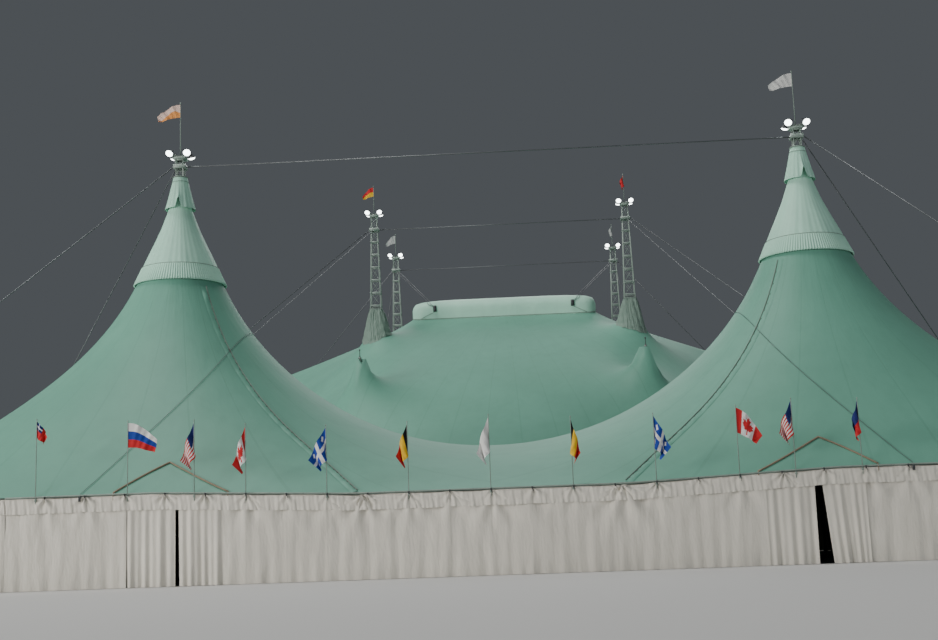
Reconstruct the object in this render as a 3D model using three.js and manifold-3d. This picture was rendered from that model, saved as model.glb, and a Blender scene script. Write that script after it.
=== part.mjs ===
// A circus tent at half size: a twin-peaked entrance hall in front of a round big top on four masts.
// Sizes are the real ones in metres. SCALE turns them into the model's millimetres.
// X runs to the right along the front wall, Y runs from the front wall to the back, and Z is up.

import * as THREE from 'three';
import { mergeVertices } from 'three/addons/utils/BufferGeometryUtils.js';
import Module from 'manifold-3d';

const wasm = await Module();
wasm.setup();

const SCALE = 500;
const GAP = 0.0008;
const SKIN = 0.06;
const WALL = 0.05;

// Entrance hall
const HALL_DEPTH = 21;
const HALL_RIDGE_Y = HALL_DEPTH / 2;
const HALL_END_X = 18.8;
const HALL_MAST_X = 14.8;
const HALL_SEAM_X = 5.2;
const HALL_EAVE_MIDDLE = 3.26;
const HALL_EAVE_OUTER = 3.57;
const HALL_EAVE_LEVEL_X = 13;
const HALL_TOP_RADIUS = 0.9;
const HALL_TOP_HEIGHT = 16.0;
const HALL_NECK_RADIUS = 2.05;
const HALL_NECK_HEIGHT = 13.7;
const HALL_LOAD_OUTER = 0.067;
const HALL_LOAD_MIDDLE = -0.015;
const HALL_LOAD_FROM_X = 5;
const HALL_LOAD_TO_X = 14;
const HALL_MAST_HALF = 0.17;
const HALL_MAST_TOP = 20.0;
const HALL_POLE_TIP = 22.85;
const HALL_COLLAR_Z = 19.5;

// Big top
const BIG_CENTRE_Y = 46.9;
const BIG_RADIUS = 25.5;
const BIG_EAVE = HALL_EAVE_MIDDLE;
const BIG_LOAD = 0.015;
const BIG_MAST_X = 8.85;
const BIG_MAST_Y = 7.25;
const BIG_MAST_HALF = 0.36;
const BIG_MAST_TOP_HALF = 0.18;
const BIG_MAST_TAPER_Z = 17.4;
const BIG_MAST_TOP = 24.0;
const BIG_POLE_TIP = 26.2;
const BIG_COLLAR_Z = 22.9;
const BIG_MAST_ROOF = 15.9;
const BIG_RIDGE_SAG = 0.12;
const CUPOLA_HALF_WIDTH = 6.7;
const CUPOLA_HALF_DEPTH = 3.6;
const CUPOLA_CORNER = 0.9;
const CUPOLA_BASE = 17.0;
const CUPOLA_SIDE_RISE = 0.45;
const CUPOLA_TOP = 18.4;
const CUPOLA_CROWN = 18.9;
const QUARTER_POLES = [
  { x: 9, y: 15.6, top: 12.7 },
  { x: 18, y: 0, top: 13.3 },
];
const QUARTER_RADIUS = 0.09;
const QUARTER_TIP = 0.6;
const MAST_HOLE = 0.58;
const BOOT_TOP = 17.25;
const BOOT_RADIUS = 1.05;
const BOOT_HEM = 0.05;
const BOOT_FLARE = 1.2;

// Doors and passage
const DOOR_INNER_X = 10.33;
const DOOR_OUTER_X = 14.05;
const DOOR_HEIGHT = 2.95;
const PASSAGE_HALF = 2.5;
const PASSAGE_HEIGHT = 3.0;

// Cables, flags and lamps
const CABLE = 0.05;
const CABLE_SIDES = 5;
const CABLE_END = 0.4;
const ANCHOR = 0.5;
const ANCHOR_HEIGHT = 0.3;
const HALL_GUYS = [[34.5, 0.5], [31, 24]];
const BIG_FRONT_GUYS = [[33.5, 28]];
const BIG_REAR_GUYS = [[33, 70], [16, 76]];
const STAY_RIDGE_X = 11.3;
const STAY_EAVE_X = 15.85;
const STAY_CLEARANCE = 0.16;
const RAIL = 0.06;
const FLAGPOLE = 0.045;
const FLAG_THICKNESS = 0.03;
const EAVE_FLAGS = [
  { x: -17.6, tip: 3.0, fly: 0.45, hoist: 0.6, drop: 0.35 },
  { x: -14.0, tip: 2.8, fly: 1.15, hoist: 0.95, drop: 0.35 },
  { x: -11.4, tip: 2.8, fly: -0.55, hoist: 0.95, drop: 0.9 },
  { x: -9.4, tip: 2.65, fly: -0.5, hoist: 0.95, drop: 0.9 },
  { x: -6.27, tip: 2.6, fly: -0.7, hoist: 0.95, drop: 0.75 },
  { x: -3.13, tip: 2.65, fly: -0.45, hoist: 0.95, drop: 0.75 },
  { x: 0, tip: 2.8, fly: -0.5, hoist: 1.0, drop: 0.85 },
  { x: 3.13, tip: 2.6, fly: 0.35, hoist: 0.95, drop: 0.8 },
  { x: 6.27, tip: 2.55, fly: 0.6, hoist: 0.95, drop: 0.75 },
  { x: 9.4, tip: 2.6, fly: 0.95, hoist: 0.95, drop: 0.6 },
  { x: 11.5, tip: 2.7, fly: -0.55, hoist: 0.95, drop: 0.75 },
  { x: 13.98, tip: 2.55, fly: -0.3, hoist: 0.95, drop: 0.6 },
  { x: 17.6, tip: 2.6, fly: 0.5, hoist: 0.95, drop: 0.7 },
];

// Materials
const colours = {
  roof_fabric: [0x8fb3a2, 0.62, 0],
  hood_fabric: [0xdfe9e0, 0.6, 0],
  wall_fabric: [0xe9e6dc, 0.75, 0],
  boot_fabric: [0x9fb0a6, 0.7, 0],
  mast_steel: [0xa9b2ac, 0.45, 0.8],
  cable_steel: [0x50565a, 0.5, 0.9],
  flag_cloth: [0xb9c2cf, 0.8, 0],
};
const materials = {};
for (const [slot, [color, roughness, metalness]] of Object.entries(colours)) {
  materials[slot] = new THREE.MeshStandardMaterial({ name: slot, color, roughness, metalness });
}

const tent = new THREE.Group();

// Shared tools

function scaled(geometry) {
  const copy = geometry.clone();
  copy.deleteAttribute('normal');
  copy.deleteAttribute('uv');
  copy.scale(SCALE, SCALE, SCALE);
  return mergeVertices(copy, 0.002);
}

function toSolid(geometry) {
  const merged = scaled(geometry);
  const vertProperties = new Float32Array(merged.attributes.position.array);
  const triVerts = new Uint32Array(merged.index.array);
  return new wasm.Manifold(new wasm.Mesh({ numProp: 3, vertProperties, triVerts }));
}

function joined(pieces) {
  const solids = pieces.map((piece) => (piece.isBufferGeometry ? toSolid(piece) : piece));
  return solids.reduce((all, one) => all.add(one));
}

function toGeometry(solid) {
  const { vertProperties, triVerts } = solid.getMesh();
  const geometry = new THREE.BufferGeometry();
  geometry.setAttribute('position', new THREE.BufferAttribute(new Float32Array(vertProperties), 3));
  geometry.setIndex(new THREE.BufferAttribute(new Uint32Array(triVerts), 1));
  return geometry;
}

function addPiece(name, slot, geometry) {
  geometry.computeVertexNormals();
  const mesh = new THREE.Mesh(geometry, materials[slot]);
  mesh.name = name;
  tent.add(mesh);
}

function box(x0, x1, y0, y1, z0, z1) {
  const geometry = new THREE.BoxGeometry(x1 - x0, y1 - y0, z1 - z0);
  return geometry.translate((x0 + x1) / 2, (y0 + y1) / 2, (z0 + z1) / 2);
}

function centredBox(x, y, half, z0, z1) {
  return box(x - half, x + half, y - half, y + half, z0, z1);
}

function column(x, y, radius, z0, z1, sides) {
  const geometry = new THREE.CylinderGeometry(radius, radius, z1 - z0, sides);
  return geometry.rotateX(Math.PI / 2).translate(x, y, (z0 + z1) / 2);
}

// A straight bar with flat sides, each of them half the given thickness from its middle line.
function bar(start, end, thickness, sides) {
  const from = new THREE.Vector3(...start);
  const along = new THREE.Vector3(...end).sub(from);
  const corner = thickness / 2 / Math.cos(Math.PI / sides);
  const turned = Math.PI / sides;
  const geometry = new THREE.CylinderGeometry(corner, corner, along.length(), sides, 1, false, turned);
  geometry.translate(0, along.length() / 2, 0);
  const turn = new THREE.Quaternion().setFromUnitVectors(new THREE.Vector3(0, 1, 0), along.normalize());
  return geometry.applyQuaternion(turn).translate(from.x, from.y, from.z);
}

// A bent bar along a line of points, with a ring square to the line at each of them.
function tube(points, thickness, sides) {
  const corner = thickness / 2 / Math.cos(Math.PI / sides);
  const line = points.map((p) => new THREE.Vector3(...p));
  const rings = line.map((p, k) => {
    const along = line[Math.min(k + 1, line.length - 1)].clone().sub(line[Math.max(k - 1, 0)]).normalize();
    const upright = Math.abs(along.z) > 0.999;
    const side = upright ? new THREE.Vector3(1, 0, 0) : new THREE.Vector3(-along.y, along.x, 0).normalize();
    const up = along.clone().cross(side);
    return Array.from({ length: sides }, (_, turn) => {
      const angle = (2 * Math.PI * (turn + 0.5)) / sides;
      const reach = side.clone().multiplyScalar(corner * Math.cos(angle));
      return p.clone().add(reach.addScaledVector(up, corner * Math.sin(angle))).toArray();
    });
  });
  return loft([[points[0]], ...rings, [points.at(-1)]]);
}

// A cable has a short length at each end, where it runs into another solid.
function cable(points) {
  const line = points.map((p) => new THREE.Vector3(...p));
  const near = (from, to) => {
    const along = to.clone().sub(from);
    return from.clone().add(along.setLength(Math.min(CABLE_END, along.length() / 2))).toArray();
  };
  const head = near(line[0], line[1]);
  const foot = near(line.at(-1), line.at(-2));
  return tube([points[0], head, ...points.slice(1, -1), foot, points.at(-1)], CABLE, CABLE_SIDES);
}

// A closed skin through a list of rings, from a single point to a single point.
function loft(rings) {
  const vertices = [];
  for (let k = 0; k + 1 < rings.length; k++) {
    const [low, high] = [rings[k], rings[k + 1]];
    const count = Math.max(low.length, high.length);
    for (let turn = 0; turn < count; turn++) {
      const next = (turn + 1) % count;
      const [a, b] = [low[turn % low.length], low[next % low.length]];
      const [d, c] = [high[turn % high.length], high[next % high.length]];
      if (low.length > 1) vertices.push(a, b, c);
      if (high.length > 1) vertices.push(a, c, d);
    }
  }
  const geometry = new THREE.BufferGeometry();
  geometry.setAttribute('position', new THREE.Float32BufferAttribute(vertices.flat(), 3));
  return geometry;
}

// An upright sheet that fills an outline of [x, z] points and runs back from yFront.
function sheet(outline, yFront, thickness) {
  const shape = new THREE.Shape(outline.map(([x, z]) => new THREE.Vector2(x, z)));
  const geometry = new THREE.ExtrudeGeometry(shape, { depth: thickness, bevelEnabled: false });
  return geometry.rotateX(Math.PI / 2).translate(0, yFront + thickness, 0);
}

// A wall of even height over a line of plan points, with its thickness toward a centre point.
function curvedWall(line, centre, height) {
  const inner = line.map(([x, y]) => {
    const reach = Math.hypot(x - centre[0], y - centre[1]);
    const part = (reach - WALL) / reach;
    return [centre[0] + (x - centre[0]) * part, centre[1] + (y - centre[1]) * part];
  });
  const outline = [...line, ...inner.reverse()].map(([x, y]) => new THREE.Vector2(x, y));
  return new THREE.ExtrudeGeometry(new THREE.Shape(outline), { depth: height, bevelEnabled: false });
}

// Membranes
// A fan is a list of rays and each ray a list of points in plan, with z found by relaxing the net.

function point(x, y, z, fixed) {
  return { x, y, z, fixed };
}

function triangles(fan) {
  const list = [];
  for (let i = 0; i + 1 < fan.length; i++) {
    for (let j = 0; j + 1 < fan[i].length; j++) {
      list.push([fan[i][j], fan[i + 1][j], fan[i + 1][j + 1]]);
      list.push([fan[i][j], fan[i + 1][j + 1], fan[i][j + 1]]);
    }
  }
  return list;
}

// Each free point settles at the mean of its neighbours, weighted as an even tension weighs them.
function relax(fan, load) {
  const links = new Map();
  const areas = new Map();
  const link = (from, to, weight) => {
    if (!links.has(from)) links.set(from, new Map());
    links.get(from).set(to, (links.get(from).get(to) || 0) + weight);
  };
  for (const corners of triangles(fan)) {
    const [a, b, c] = corners;
    const area = Math.abs((b.x - a.x) * (c.y - a.y) - (b.y - a.y) * (c.x - a.x)) / 2;
    for (let k = 0; k < 3; k++) {
      const [p, q, r] = [corners[k], corners[(k + 1) % 3], corners[(k + 2) % 3]];
      const weight = ((q.x - p.x) * (r.x - p.x) + (q.y - p.y) * (r.y - p.y)) / (4 * area);
      link(q, r, weight);
      link(r, q, weight);
      areas.set(p, (areas.get(p) || 0) + area / 3);
    }
  }
  for (let sweep = 0; sweep < 600; sweep++) {
    for (const [p, neighbours] of links) {
      if (p.fixed) continue;
      let pull = load(p) * areas.get(p);
      let total = 0;
      for (const [q, weight] of neighbours) {
        pull += weight * q.z;
        total += weight;
      }
      p.z += 1.5 * (pull / total - p.z);
    }
  }
}

function heightOn(fan, x, y) {
  for (const [a, b, c] of triangles(fan)) {
    const area = (b.x - a.x) * (c.y - a.y) - (b.y - a.y) * (c.x - a.x);
    const u = ((b.x - x) * (c.y - y) - (b.y - y) * (c.x - x)) / area;
    const v = ((c.x - x) * (a.y - y) - (c.y - y) * (a.x - x)) / area;
    const w = 1 - u - v;
    if (Math.min(u, v, w) > -1e-6) return u * a.z + v * b.z + w * c.z;
  }
  throw new Error(`no membrane at ${x}, ${y}`);
}

// The rays first to last of a fan, mirrored by two signs, drawn in by half a gap at cut edges.
function patch(fan, first, last, signX, signY, centreY, cutFirst, cutLast) {
  const rays = [];
  for (let i = first; i <= last; i++) {
    let shift = [0, 0];
    if ((i === first && cutFirst) || (i === last && cutLast)) {
      const start = fan[i][0];
      const end = fan[i].at(-1);
      const other = fan[i === first ? i + 1 : i - 1].at(-1);
      const reach = Math.hypot(end.x - start.x, end.y - start.y);
      const across = [-(end.y - start.y) / reach, (end.x - start.x) / reach];
      const side = Math.sign(across[0] * (other.x - start.x) + across[1] * (other.y - start.y));
      shift = across.map((value) => (value * side * GAP) / 2);
    }
    rays.push(fan[i].map((p) => point((p.x + shift[0]) * signX, centreY + (p.y + shift[1]) * signY, p.z)));
  }
  return triangles(rays);
}

// A closed skin under a list of triangles: its top, its underside and a side along each free edge.
function skin(list, depth) {
  const corner = (p) => [p.x, p.y, p.z];
  const under = (p) => [p.x, p.y, p.z - depth];
  const key = (p) => `${Math.round(p.x * 1e5)},${Math.round(p.y * 1e5)}`;
  const edges = new Map();
  const vertices = [];
  for (const [a, second, third] of list) {
    const upward = (second.x - a.x) * (third.y - a.y) - (second.y - a.y) * (third.x - a.x) > 0;
    const [b, c] = upward ? [second, third] : [third, second];
    vertices.push(corner(a), corner(b), corner(c));
    vertices.push(under(a), under(c), under(b));
    for (const [p, q] of [[a, b], [b, c], [c, a]]) edges.set(`${key(p)};${key(q)}`, [p, q]);
  }
  for (const [p, q] of edges.values()) {
    if (edges.has(`${key(q)};${key(p)}`)) continue;
    vertices.push(corner(p), under(p), corner(q));
    vertices.push(corner(q), under(p), under(q));
  }
  const geometry = new THREE.BufferGeometry();
  geometry.setAttribute('position', new THREE.Float32BufferAttribute(vertices.flat(), 3));
  return geometry;
}

function spread(keys, counts) {
  const values = [keys[0]];
  counts.forEach((count, k) => {
    for (let step = 1; step <= count; step++) {
      values.push(keys[k] + ((keys[k + 1] - keys[k]) * step) / count);
    }
  });
  return values;
}

// Hall membrane
// One quarter is relaxed: rays turn from the inner ridge, over the front eave, to the outer end.

function eaveHeight(x) {
  const part = (Math.abs(x) - HALL_SEAM_X) / (HALL_EAVE_LEVEL_X - HALL_SEAM_X);
  return HALL_EAVE_MIDDLE + (HALL_EAVE_OUTER - HALL_EAVE_MIDDLE) * Math.min(1, Math.max(0, part));
}

function hallReach(angle) {
  const inward = Math.cos(angle);
  const forward = Math.sin(angle);
  const toMiddle = inward > 0 ? HALL_MAST_X / inward : Infinity;
  const toEave = forward > 1e-9 ? HALL_RIDGE_Y / forward : Infinity;
  const nearest = Math.min(toMiddle, toEave);
  if (HALL_MAST_X - nearest * inward <= HALL_END_X) return nearest;
  const offset = HALL_END_X - HALL_MAST_X;
  return -offset * inward + Math.sqrt((offset * inward) ** 2 + HALL_RIDGE_Y ** 2 - offset ** 2);
}

const seamAngle = Math.atan2(HALL_RIDGE_Y, HALL_MAST_X - HALL_SEAM_X);
const cornerAngle = Math.atan2(HALL_RIDGE_Y, HALL_MAST_X);
const endAngle = Math.PI - Math.atan2(HALL_RIDGE_Y, HALL_END_X - HALL_MAST_X);
const levelAngle = Math.atan2(HALL_RIDGE_Y, HALL_MAST_X - HALL_EAVE_LEVEL_X);
const HALL_KEYS = [0, cornerAngle, seamAngle, levelAngle, endAngle, Math.PI];
const HALL_RAYS = [4, 2, 3, 3, 6];
const HALL_SEAM_RAY = HALL_RAYS[0] + HALL_RAYS[1];
const HALL_STEPS = 7;

function hallFan() {
  const angles = spread(HALL_KEYS, HALL_RAYS);
  return angles.map((angle, ray) => {
    const reach = hallReach(angle);
    const points = [];
    for (let step = 0; step <= HALL_STEPS; step++) {
      const part = Math.max(0, step - 1) / (HALL_STEPS - 1);
      const open = HALL_NECK_RADIUS + (reach - HALL_NECK_RADIUS) * part ** 1.3;
      const radius = step === 0 ? HALL_TOP_RADIUS : open;
      const x = HALL_MAST_X - radius * Math.cos(angle);
      const y = -radius * Math.sin(angle);
      const neck = step === 0 ? HALL_TOP_HEIGHT : HALL_NECK_HEIGHT;
      const atEave = step === HALL_STEPS && ray >= HALL_RAYS[0];
      if (step < 2) points.push(point(x, y, neck, true));
      else if (atEave) points.push(point(x, y, eaveHeight(x), true));
      else points.push(point(x, y, HALL_EAVE_OUTER, false));
    }
    return points;
  });
}

const hall = hallFan();
const hallLoad = (p) => {
  const part = (p.x - HALL_LOAD_FROM_X) / (HALL_LOAD_TO_X - HALL_LOAD_FROM_X);
  return HALL_LOAD_MIDDLE + (HALL_LOAD_OUTER - HALL_LOAD_MIDDLE) * Math.min(1, Math.max(0, part));
};
relax(hall, hallLoad);

function hallHeight(x, y) {
  return heightOn(hall, Math.abs(x), -Math.abs(y - HALL_RIDGE_Y));
}

function addHallRoof() {
  for (const [row, signY] of [['front', 1], ['back', -1]]) {
    const middle = [1, -1].flatMap((signX) => (
      patch(hall, 0, HALL_SEAM_RAY, signX, signY, HALL_RIDGE_Y, true, true)
    ));
    addPiece(`hall_roof_middle_${row}`, 'roof_fabric', scaled(skin(middle, SKIN)));
    for (const [side, signX] of [['left', -1], ['right', 1]]) {
      const outer = patch(hall, HALL_SEAM_RAY, hall.length - 1, signX, signY, HALL_RIDGE_Y, true, true);
      addPiece(`hall_roof_${side}_${row}`, 'roof_fabric', scaled(skin(outer, SKIN)));
    }
  }
}

// Big top membrane
// One quarter is relaxed: rays turn from the side to the front, from the cupola to the eave.

function cupolaOutline(angle, inset) {
  const halfWidth = CUPOLA_HALF_WIDTH - inset;
  const halfDepth = CUPOLA_HALF_DEPTH - inset;
  const across = Math.cos(angle);
  const forward = Math.sin(angle);
  const flat = Math.min(halfWidth / Math.max(across, 1e-9), halfDepth / Math.max(forward, 1e-9));
  const cx = halfWidth - CUPOLA_CORNER;
  const cy = halfDepth - CUPOLA_CORNER;
  if (flat * across < cx || flat * forward < cy) return [flat * across, flat * forward];
  const along = cx * across + cy * forward;
  const reach = along + Math.sqrt(along ** 2 - cx ** 2 - cy ** 2 + CUPOLA_CORNER ** 2);
  return [reach * across, reach * forward];
}

function cupolaBase(y) {
  return CUPOLA_BASE + CUPOLA_SIDE_RISE * (1 - Math.min(1, (y / CUPOLA_HALF_DEPTH) ** 2));
}

const mastAngle = Math.atan2(BIG_MAST_Y, BIG_MAST_X);
const quarterAngle = Math.atan2(QUARTER_POLES[0].y, QUARTER_POLES[0].x);
const BIG_RAYS = [6, 3, 5];
const BIG_MAST_RAY = BIG_RAYS[0];
const BIG_PARTS = [0, 0.14, 0.29, 0.41, 0.53, 0.64, 0.76, 0.88, 1];
const bigAngles = spread([0, mastAngle, quarterAngle, Math.PI / 2], BIG_RAYS);

function pin(fan, x, y, z) {
  let nearest = null;
  for (const p of fan.flat()) {
    const away = Math.hypot(p.x - x, p.y + y);
    if (!nearest || away < nearest.away) nearest = { p, away };
  }
  Object.assign(nearest.p, point(x, -y, z, true));
}

function bigFan() {
  const fan = bigAngles.map((angle) => {
    const [ex, ey] = cupolaOutline(angle, -GAP);
    const [ox, oy] = [BIG_RADIUS * Math.cos(angle), BIG_RADIUS * Math.sin(angle)];
    return BIG_PARTS.map((part) => {
      const z = part === 0 ? cupolaBase(ey) : BIG_EAVE;
      return point(ex + (ox - ex) * part, -(ey + (oy - ey) * part), z, part === 0 || part === 1);
    });
  });
  pin(fan, BIG_MAST_X, BIG_MAST_Y, BIG_MAST_ROOF);
  for (const { x, y, top } of QUARTER_POLES) pin(fan, x, y, top);
  holdSideRidge(fan[0]);
  return fan;
}

// The side ray is held as a ridge that runs from the cupola to the side pole with a slight sag.
function holdSideRidge(ray) {
  const [start] = ray;
  const { x: end, top } = QUARTER_POLES[1];
  for (const p of ray) {
    const part = (p.x - start.x) / (end - start.x);
    if (part <= 0 || part >= 1) continue;
    p.z = start.z + (top - start.z) * part - 4 * BIG_RIDGE_SAG * part * (1 - part);
    p.fixed = true;
  }
}

const big = bigFan();
relax(big, () => BIG_LOAD);

function bigHeight(x, y) {
  return heightOn(big, Math.abs(x), -Math.abs(y - BIG_CENTRE_Y));
}

const corners = [['left', -1], ['right', 1]].flatMap(([side, signX]) => (
  [['front', -1], ['rear', 1]].map(([row, signY]) => ({ side, signX, row, signY }))
));
const bigMasts = corners.map(({ side, signX, row, signY }) => (
  { side, row, x: signX * BIG_MAST_X, y: BIG_CENTRE_Y + signY * BIG_MAST_Y }
));
const quarterPoles = [
  ...corners.map(({ side, signX, row, signY }) => ({
    name: `quarter_pole_${row}_${side}`,
    x: signX * QUARTER_POLES[0].x,
    y: BIG_CENTRE_Y + signY * QUARTER_POLES[0].y,
    top: QUARTER_POLES[0].top,
  })),
  ...[['left', -1], ['right', 1]].map(([side, signX]) => ({
    name: `quarter_pole_side_${side}`,
    x: signX * QUARTER_POLES[1].x,
    y: BIG_CENTRE_Y,
    top: QUARTER_POLES[1].top,
  })),
];
const HOLE_SIDES = 16;
const HOLE_LOW = 10;
const HOLE_HIGH = 20;
const QUARTER_SIDES = 12;

function addBigRoof() {
  const quarterHole = QUARTER_RADIUS + 1.5 * GAP;
  const holes = joined([
    ...bigMasts.map(({ x, y }) => column(x, y, MAST_HOLE, HOLE_LOW, HOLE_HIGH, HOLE_SIDES)),
    ...quarterPoles.map(({ x, y }) => column(x, y, quarterHole, HOLE_LOW, HOLE_HIGH, QUARTER_SIDES)),
  ]);
  const last = big.length - 1;
  const add = (name, list) => {
    addPiece(name, 'roof_fabric', toGeometry(toSolid(skin(list, SKIN)).subtract(holes)));
  };
  for (const [row, signY] of [['front', 1], ['rear', -1]]) {
    const middle = [1, -1].flatMap((signX) => (
      patch(big, BIG_MAST_RAY, last, signX, signY, BIG_CENTRE_Y, true, false)
    ));
    add(`big_roof_${row}`, middle);
    for (const [side, signX] of [['left', -1], ['right', 1]]) {
      add(`big_roof_${side}_${row}`, patch(big, 0, BIG_MAST_RAY, signX, signY, BIG_CENTRE_Y, true, true));
    }
  }
}

// Hoods over the hall's peaks

const HOOD_TOP = 19.1;
const HOOD_INNER = 0.31;
const HOOD_SIDES = 24;
const HOOD_PROFILE = [
  [0.36, HOOD_TOP], [0.74, 17.4], [0.6, 17.38], [1.12, 16.0], [1.49, 15.2], [2.18, 13.72],
  [2.12, 13.72], [1.43, 15.17], [1.06, 15.95], [0.54, 17.33], [HOOD_INNER, HOOD_TOP],
];

function addHoods() {
  for (const [side, signX] of [['left', -1], ['right', 1]]) {
    const profile = [...HOOD_PROFILE, HOOD_PROFILE[0]].map(([r, z]) => new THREE.Vector2(r, z));
    const geometry = new THREE.LatheGeometry(profile.reverse(), HOOD_SIDES);
    geometry.rotateX(Math.PI / 2).translate(signX * HALL_MAST_X, HALL_RIDGE_Y, 0);
    addPiece(`hall_hood_${side}`, 'hood_fabric', scaled(geometry));
  }
}

// Masts

const SQUARE_CORNERS = [[-1, -1], [1, -1], [1, 1], [-1, 1]];
const CHORD = 0.08;
const RUNG = 0.056;
const ARM = 0.08;
const FRAME_LEVELS = [4, 8, 12];
const BIG_UPPER_FRAME = 20.5;
const RING_Z = HALL_TOP_HEIGHT - SKIN / 2;
const RING_SIDES = 24;
const RING_FIT = 0.9939;
const BASE_HALF = 0.6;
const BASE_THICKNESS = 0.08;
const LAMP_OUT = 0.42;
const LAMP_SIZE = 0.16;
const LAMP_DROP = 0.1;
const LAMP_RISE = 0.25;
const HEAD_PLATE = 0.32;
const HEAD_PLATE_THICKNESS = 0.08;
const ARM_RISE = 0.15;
const MAST_FLAG_HOIST = 0.6;
const MAST_FLAG_DROP = 0.08;
const BOOT_RING_HALF = 0.43;
const BOOT_RING_HEIGHT = 0.1;

function mastFrame(x, y, half, z) {
  const outer = toSolid(centredBox(x, y, half + RUNG / 4, z - RUNG / 2, z + RUNG / 2));
  return outer.subtract(toSolid(centredBox(x, y, half - RUNG / 2, z - RUNG, z + RUNG)));
}

function mastHead(x, y, top, tip, flag) {
  const arm = top + ARM_RISE;
  const plate = top - HEAD_PLATE_THICKNESS / 4;
  const pieces = [
    centredBox(x, y, HEAD_PLATE, plate, plate + HEAD_PLATE_THICKNESS),
    bar([x - LAMP_OUT, y - LAMP_OUT, arm], [x + LAMP_OUT, y + LAMP_OUT, arm], ARM, 4),
    bar([x - LAMP_OUT, y + LAMP_OUT, arm], [x + LAMP_OUT, y - LAMP_OUT, arm], ARM, 4),
    bar([x, y, top], [x, y, tip], FLAGPOLE, 4),
    ...flagPlate(x, y, tip, flag),
  ];
  for (const [sx, sy] of SQUARE_CORNERS) {
    const [lampX, lampY] = [x + sx * LAMP_OUT, y + sy * LAMP_OUT];
    pieces.push(centredBox(lampX, lampY, LAMP_SIZE, arm - LAMP_DROP, arm + LAMP_RISE));
  }
  return pieces;
}

function flagPlate(x, y, tip, { fly, hoist, drop }) {
  const top = tip - MAST_FLAG_DROP;
  const outline = [[x, top], [x, top - hoist], [x + fly, top - hoist - drop], [x + fly, top - drop]];
  return [sheet(fly > 0 ? outline : outline.reverse(), y - FLAG_THICKNESS / 2, FLAG_THICKNESS)];
}

function mast(x, y, halfAt, top) {
  const pieces = [centredBox(x, y, BASE_HALF, 0, BASE_THICKNESS)];
  for (const [sx, sy] of SQUARE_CORNERS) {
    const stops = halfAt(0) === halfAt(top) ? [0, top] : [0, BIG_MAST_TAPER_Z, top];
    for (let k = 0; k + 1 < stops.length; k++) {
      const [foot, head] = [stops[k], stops[k + 1]].map((z) => [x + sx * halfAt(z), y + sy * halfAt(z), z]);
      pieces.push(bar(foot, head, CHORD, 4));
    }
  }
  for (const z of [...FRAME_LEVELS, top - CHORD / 2]) pieces.push(mastFrame(x, y, halfAt(z), z));
  return pieces;
}

const HALL_FLAG = { fly: -1.15, hoist: MAST_FLAG_HOIST, drop: 0.3 };
const BIG_FLAG_FLY = { left: -0.8, right: -0.3 };
const BIG_FLAG_DROP = 0.35;
const REAR_POLE_LESS = 0.2;

function addHallMasts() {
  for (const [side, signX] of [['left', -1], ['right', 1]]) {
    const x = signX * HALL_MAST_X;
    const y = HALL_RIDGE_Y;
    const ring = HALL_TOP_RADIUS * RING_FIT;
    const end = ring - RUNG / 2;
    const low = RING_Z - RUNG / 2;
    const pieces = [
      ...mast(x, y, () => HALL_MAST_HALF, HALL_MAST_TOP),
      ...mastHead(x, y, HALL_MAST_TOP, HALL_POLE_TIP, HALL_FLAG),
      mastFrame(x, y, HALL_MAST_HALF, RING_Z),
      bar([x - end, y, RING_Z], [x + end, y, RING_Z], RUNG, 4),
      bar([x, y - end, low], [x, y + end, low], RUNG, 4),
      column(x, y, HOOD_INNER - GAP, HOOD_TOP - RUNG, HOOD_TOP, HOOD_SIDES),
    ];
    const hoop = toSolid(column(x, y, ring, RING_Z - RUNG / 2, RING_Z + RUNG / 2, RING_SIDES));
    const bore = toSolid(column(x, y, ring - RUNG, RING_Z - RUNG, RING_Z + RUNG, 2 * RING_SIDES));
    const rim = hoop.subtract(bore);
    addPiece(`hall_mast_${side}`, 'mast_steel', toGeometry(joined(pieces).add(rim)));
  }
}

function bigMastHalf(z) {
  const part = Math.max(0, (z - BIG_MAST_TAPER_Z) / (BIG_MAST_TOP - BIG_MAST_TAPER_Z));
  return BIG_MAST_HALF + (BIG_MAST_TOP_HALF - BIG_MAST_HALF) * part;
}

function addBigMasts() {
  for (const { side, row, x, y } of bigMasts) {
    const tip = row === 'front' ? BIG_POLE_TIP : BIG_POLE_TIP - REAR_POLE_LESS;
    const flag = { fly: BIG_FLAG_FLY[side], hoist: MAST_FLAG_HOIST, drop: BIG_FLAG_DROP };
    const pieces = [
      ...mast(x, y, bigMastHalf, BIG_MAST_TOP),
      mastFrame(x, y, bigMastHalf(BIG_UPPER_FRAME), BIG_UPPER_FRAME),
      ...mastHead(x, y, BIG_MAST_TOP, tip, flag),
      centredBox(x, y, BOOT_RING_HALF, BOOT_TOP - BOOT_RING_HEIGHT, BOOT_TOP),
    ];
    addPiece(`big_mast_${row}_${side}`, 'mast_steel', toGeometry(joined(pieces)));
  }
}

const QUARTER_BASE_HALF = 0.25;
const QUARTER_BASE_THICKNESS = 0.05;

function addQuarterPoles() {
  for (const { name, x, y, top } of quarterPoles) {
    const pieces = [
      centredBox(x, y, QUARTER_BASE_HALF, 0, QUARTER_BASE_THICKNESS),
      column(x, y, QUARTER_RADIUS, 0, top + QUARTER_TIP, QUARTER_SIDES),
    ];
    addPiece(name, 'mast_steel', toGeometry(joined(pieces)));
  }
}

// Fabric boots where the masts leave the big top's roof, square at the mast and round at the foot

const BOOT_TURNS = 16;
const BOOT_PARTS = [0, 0.25, 0.55, 1];
const ROOF_CUT_DEPTH = 2;

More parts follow.
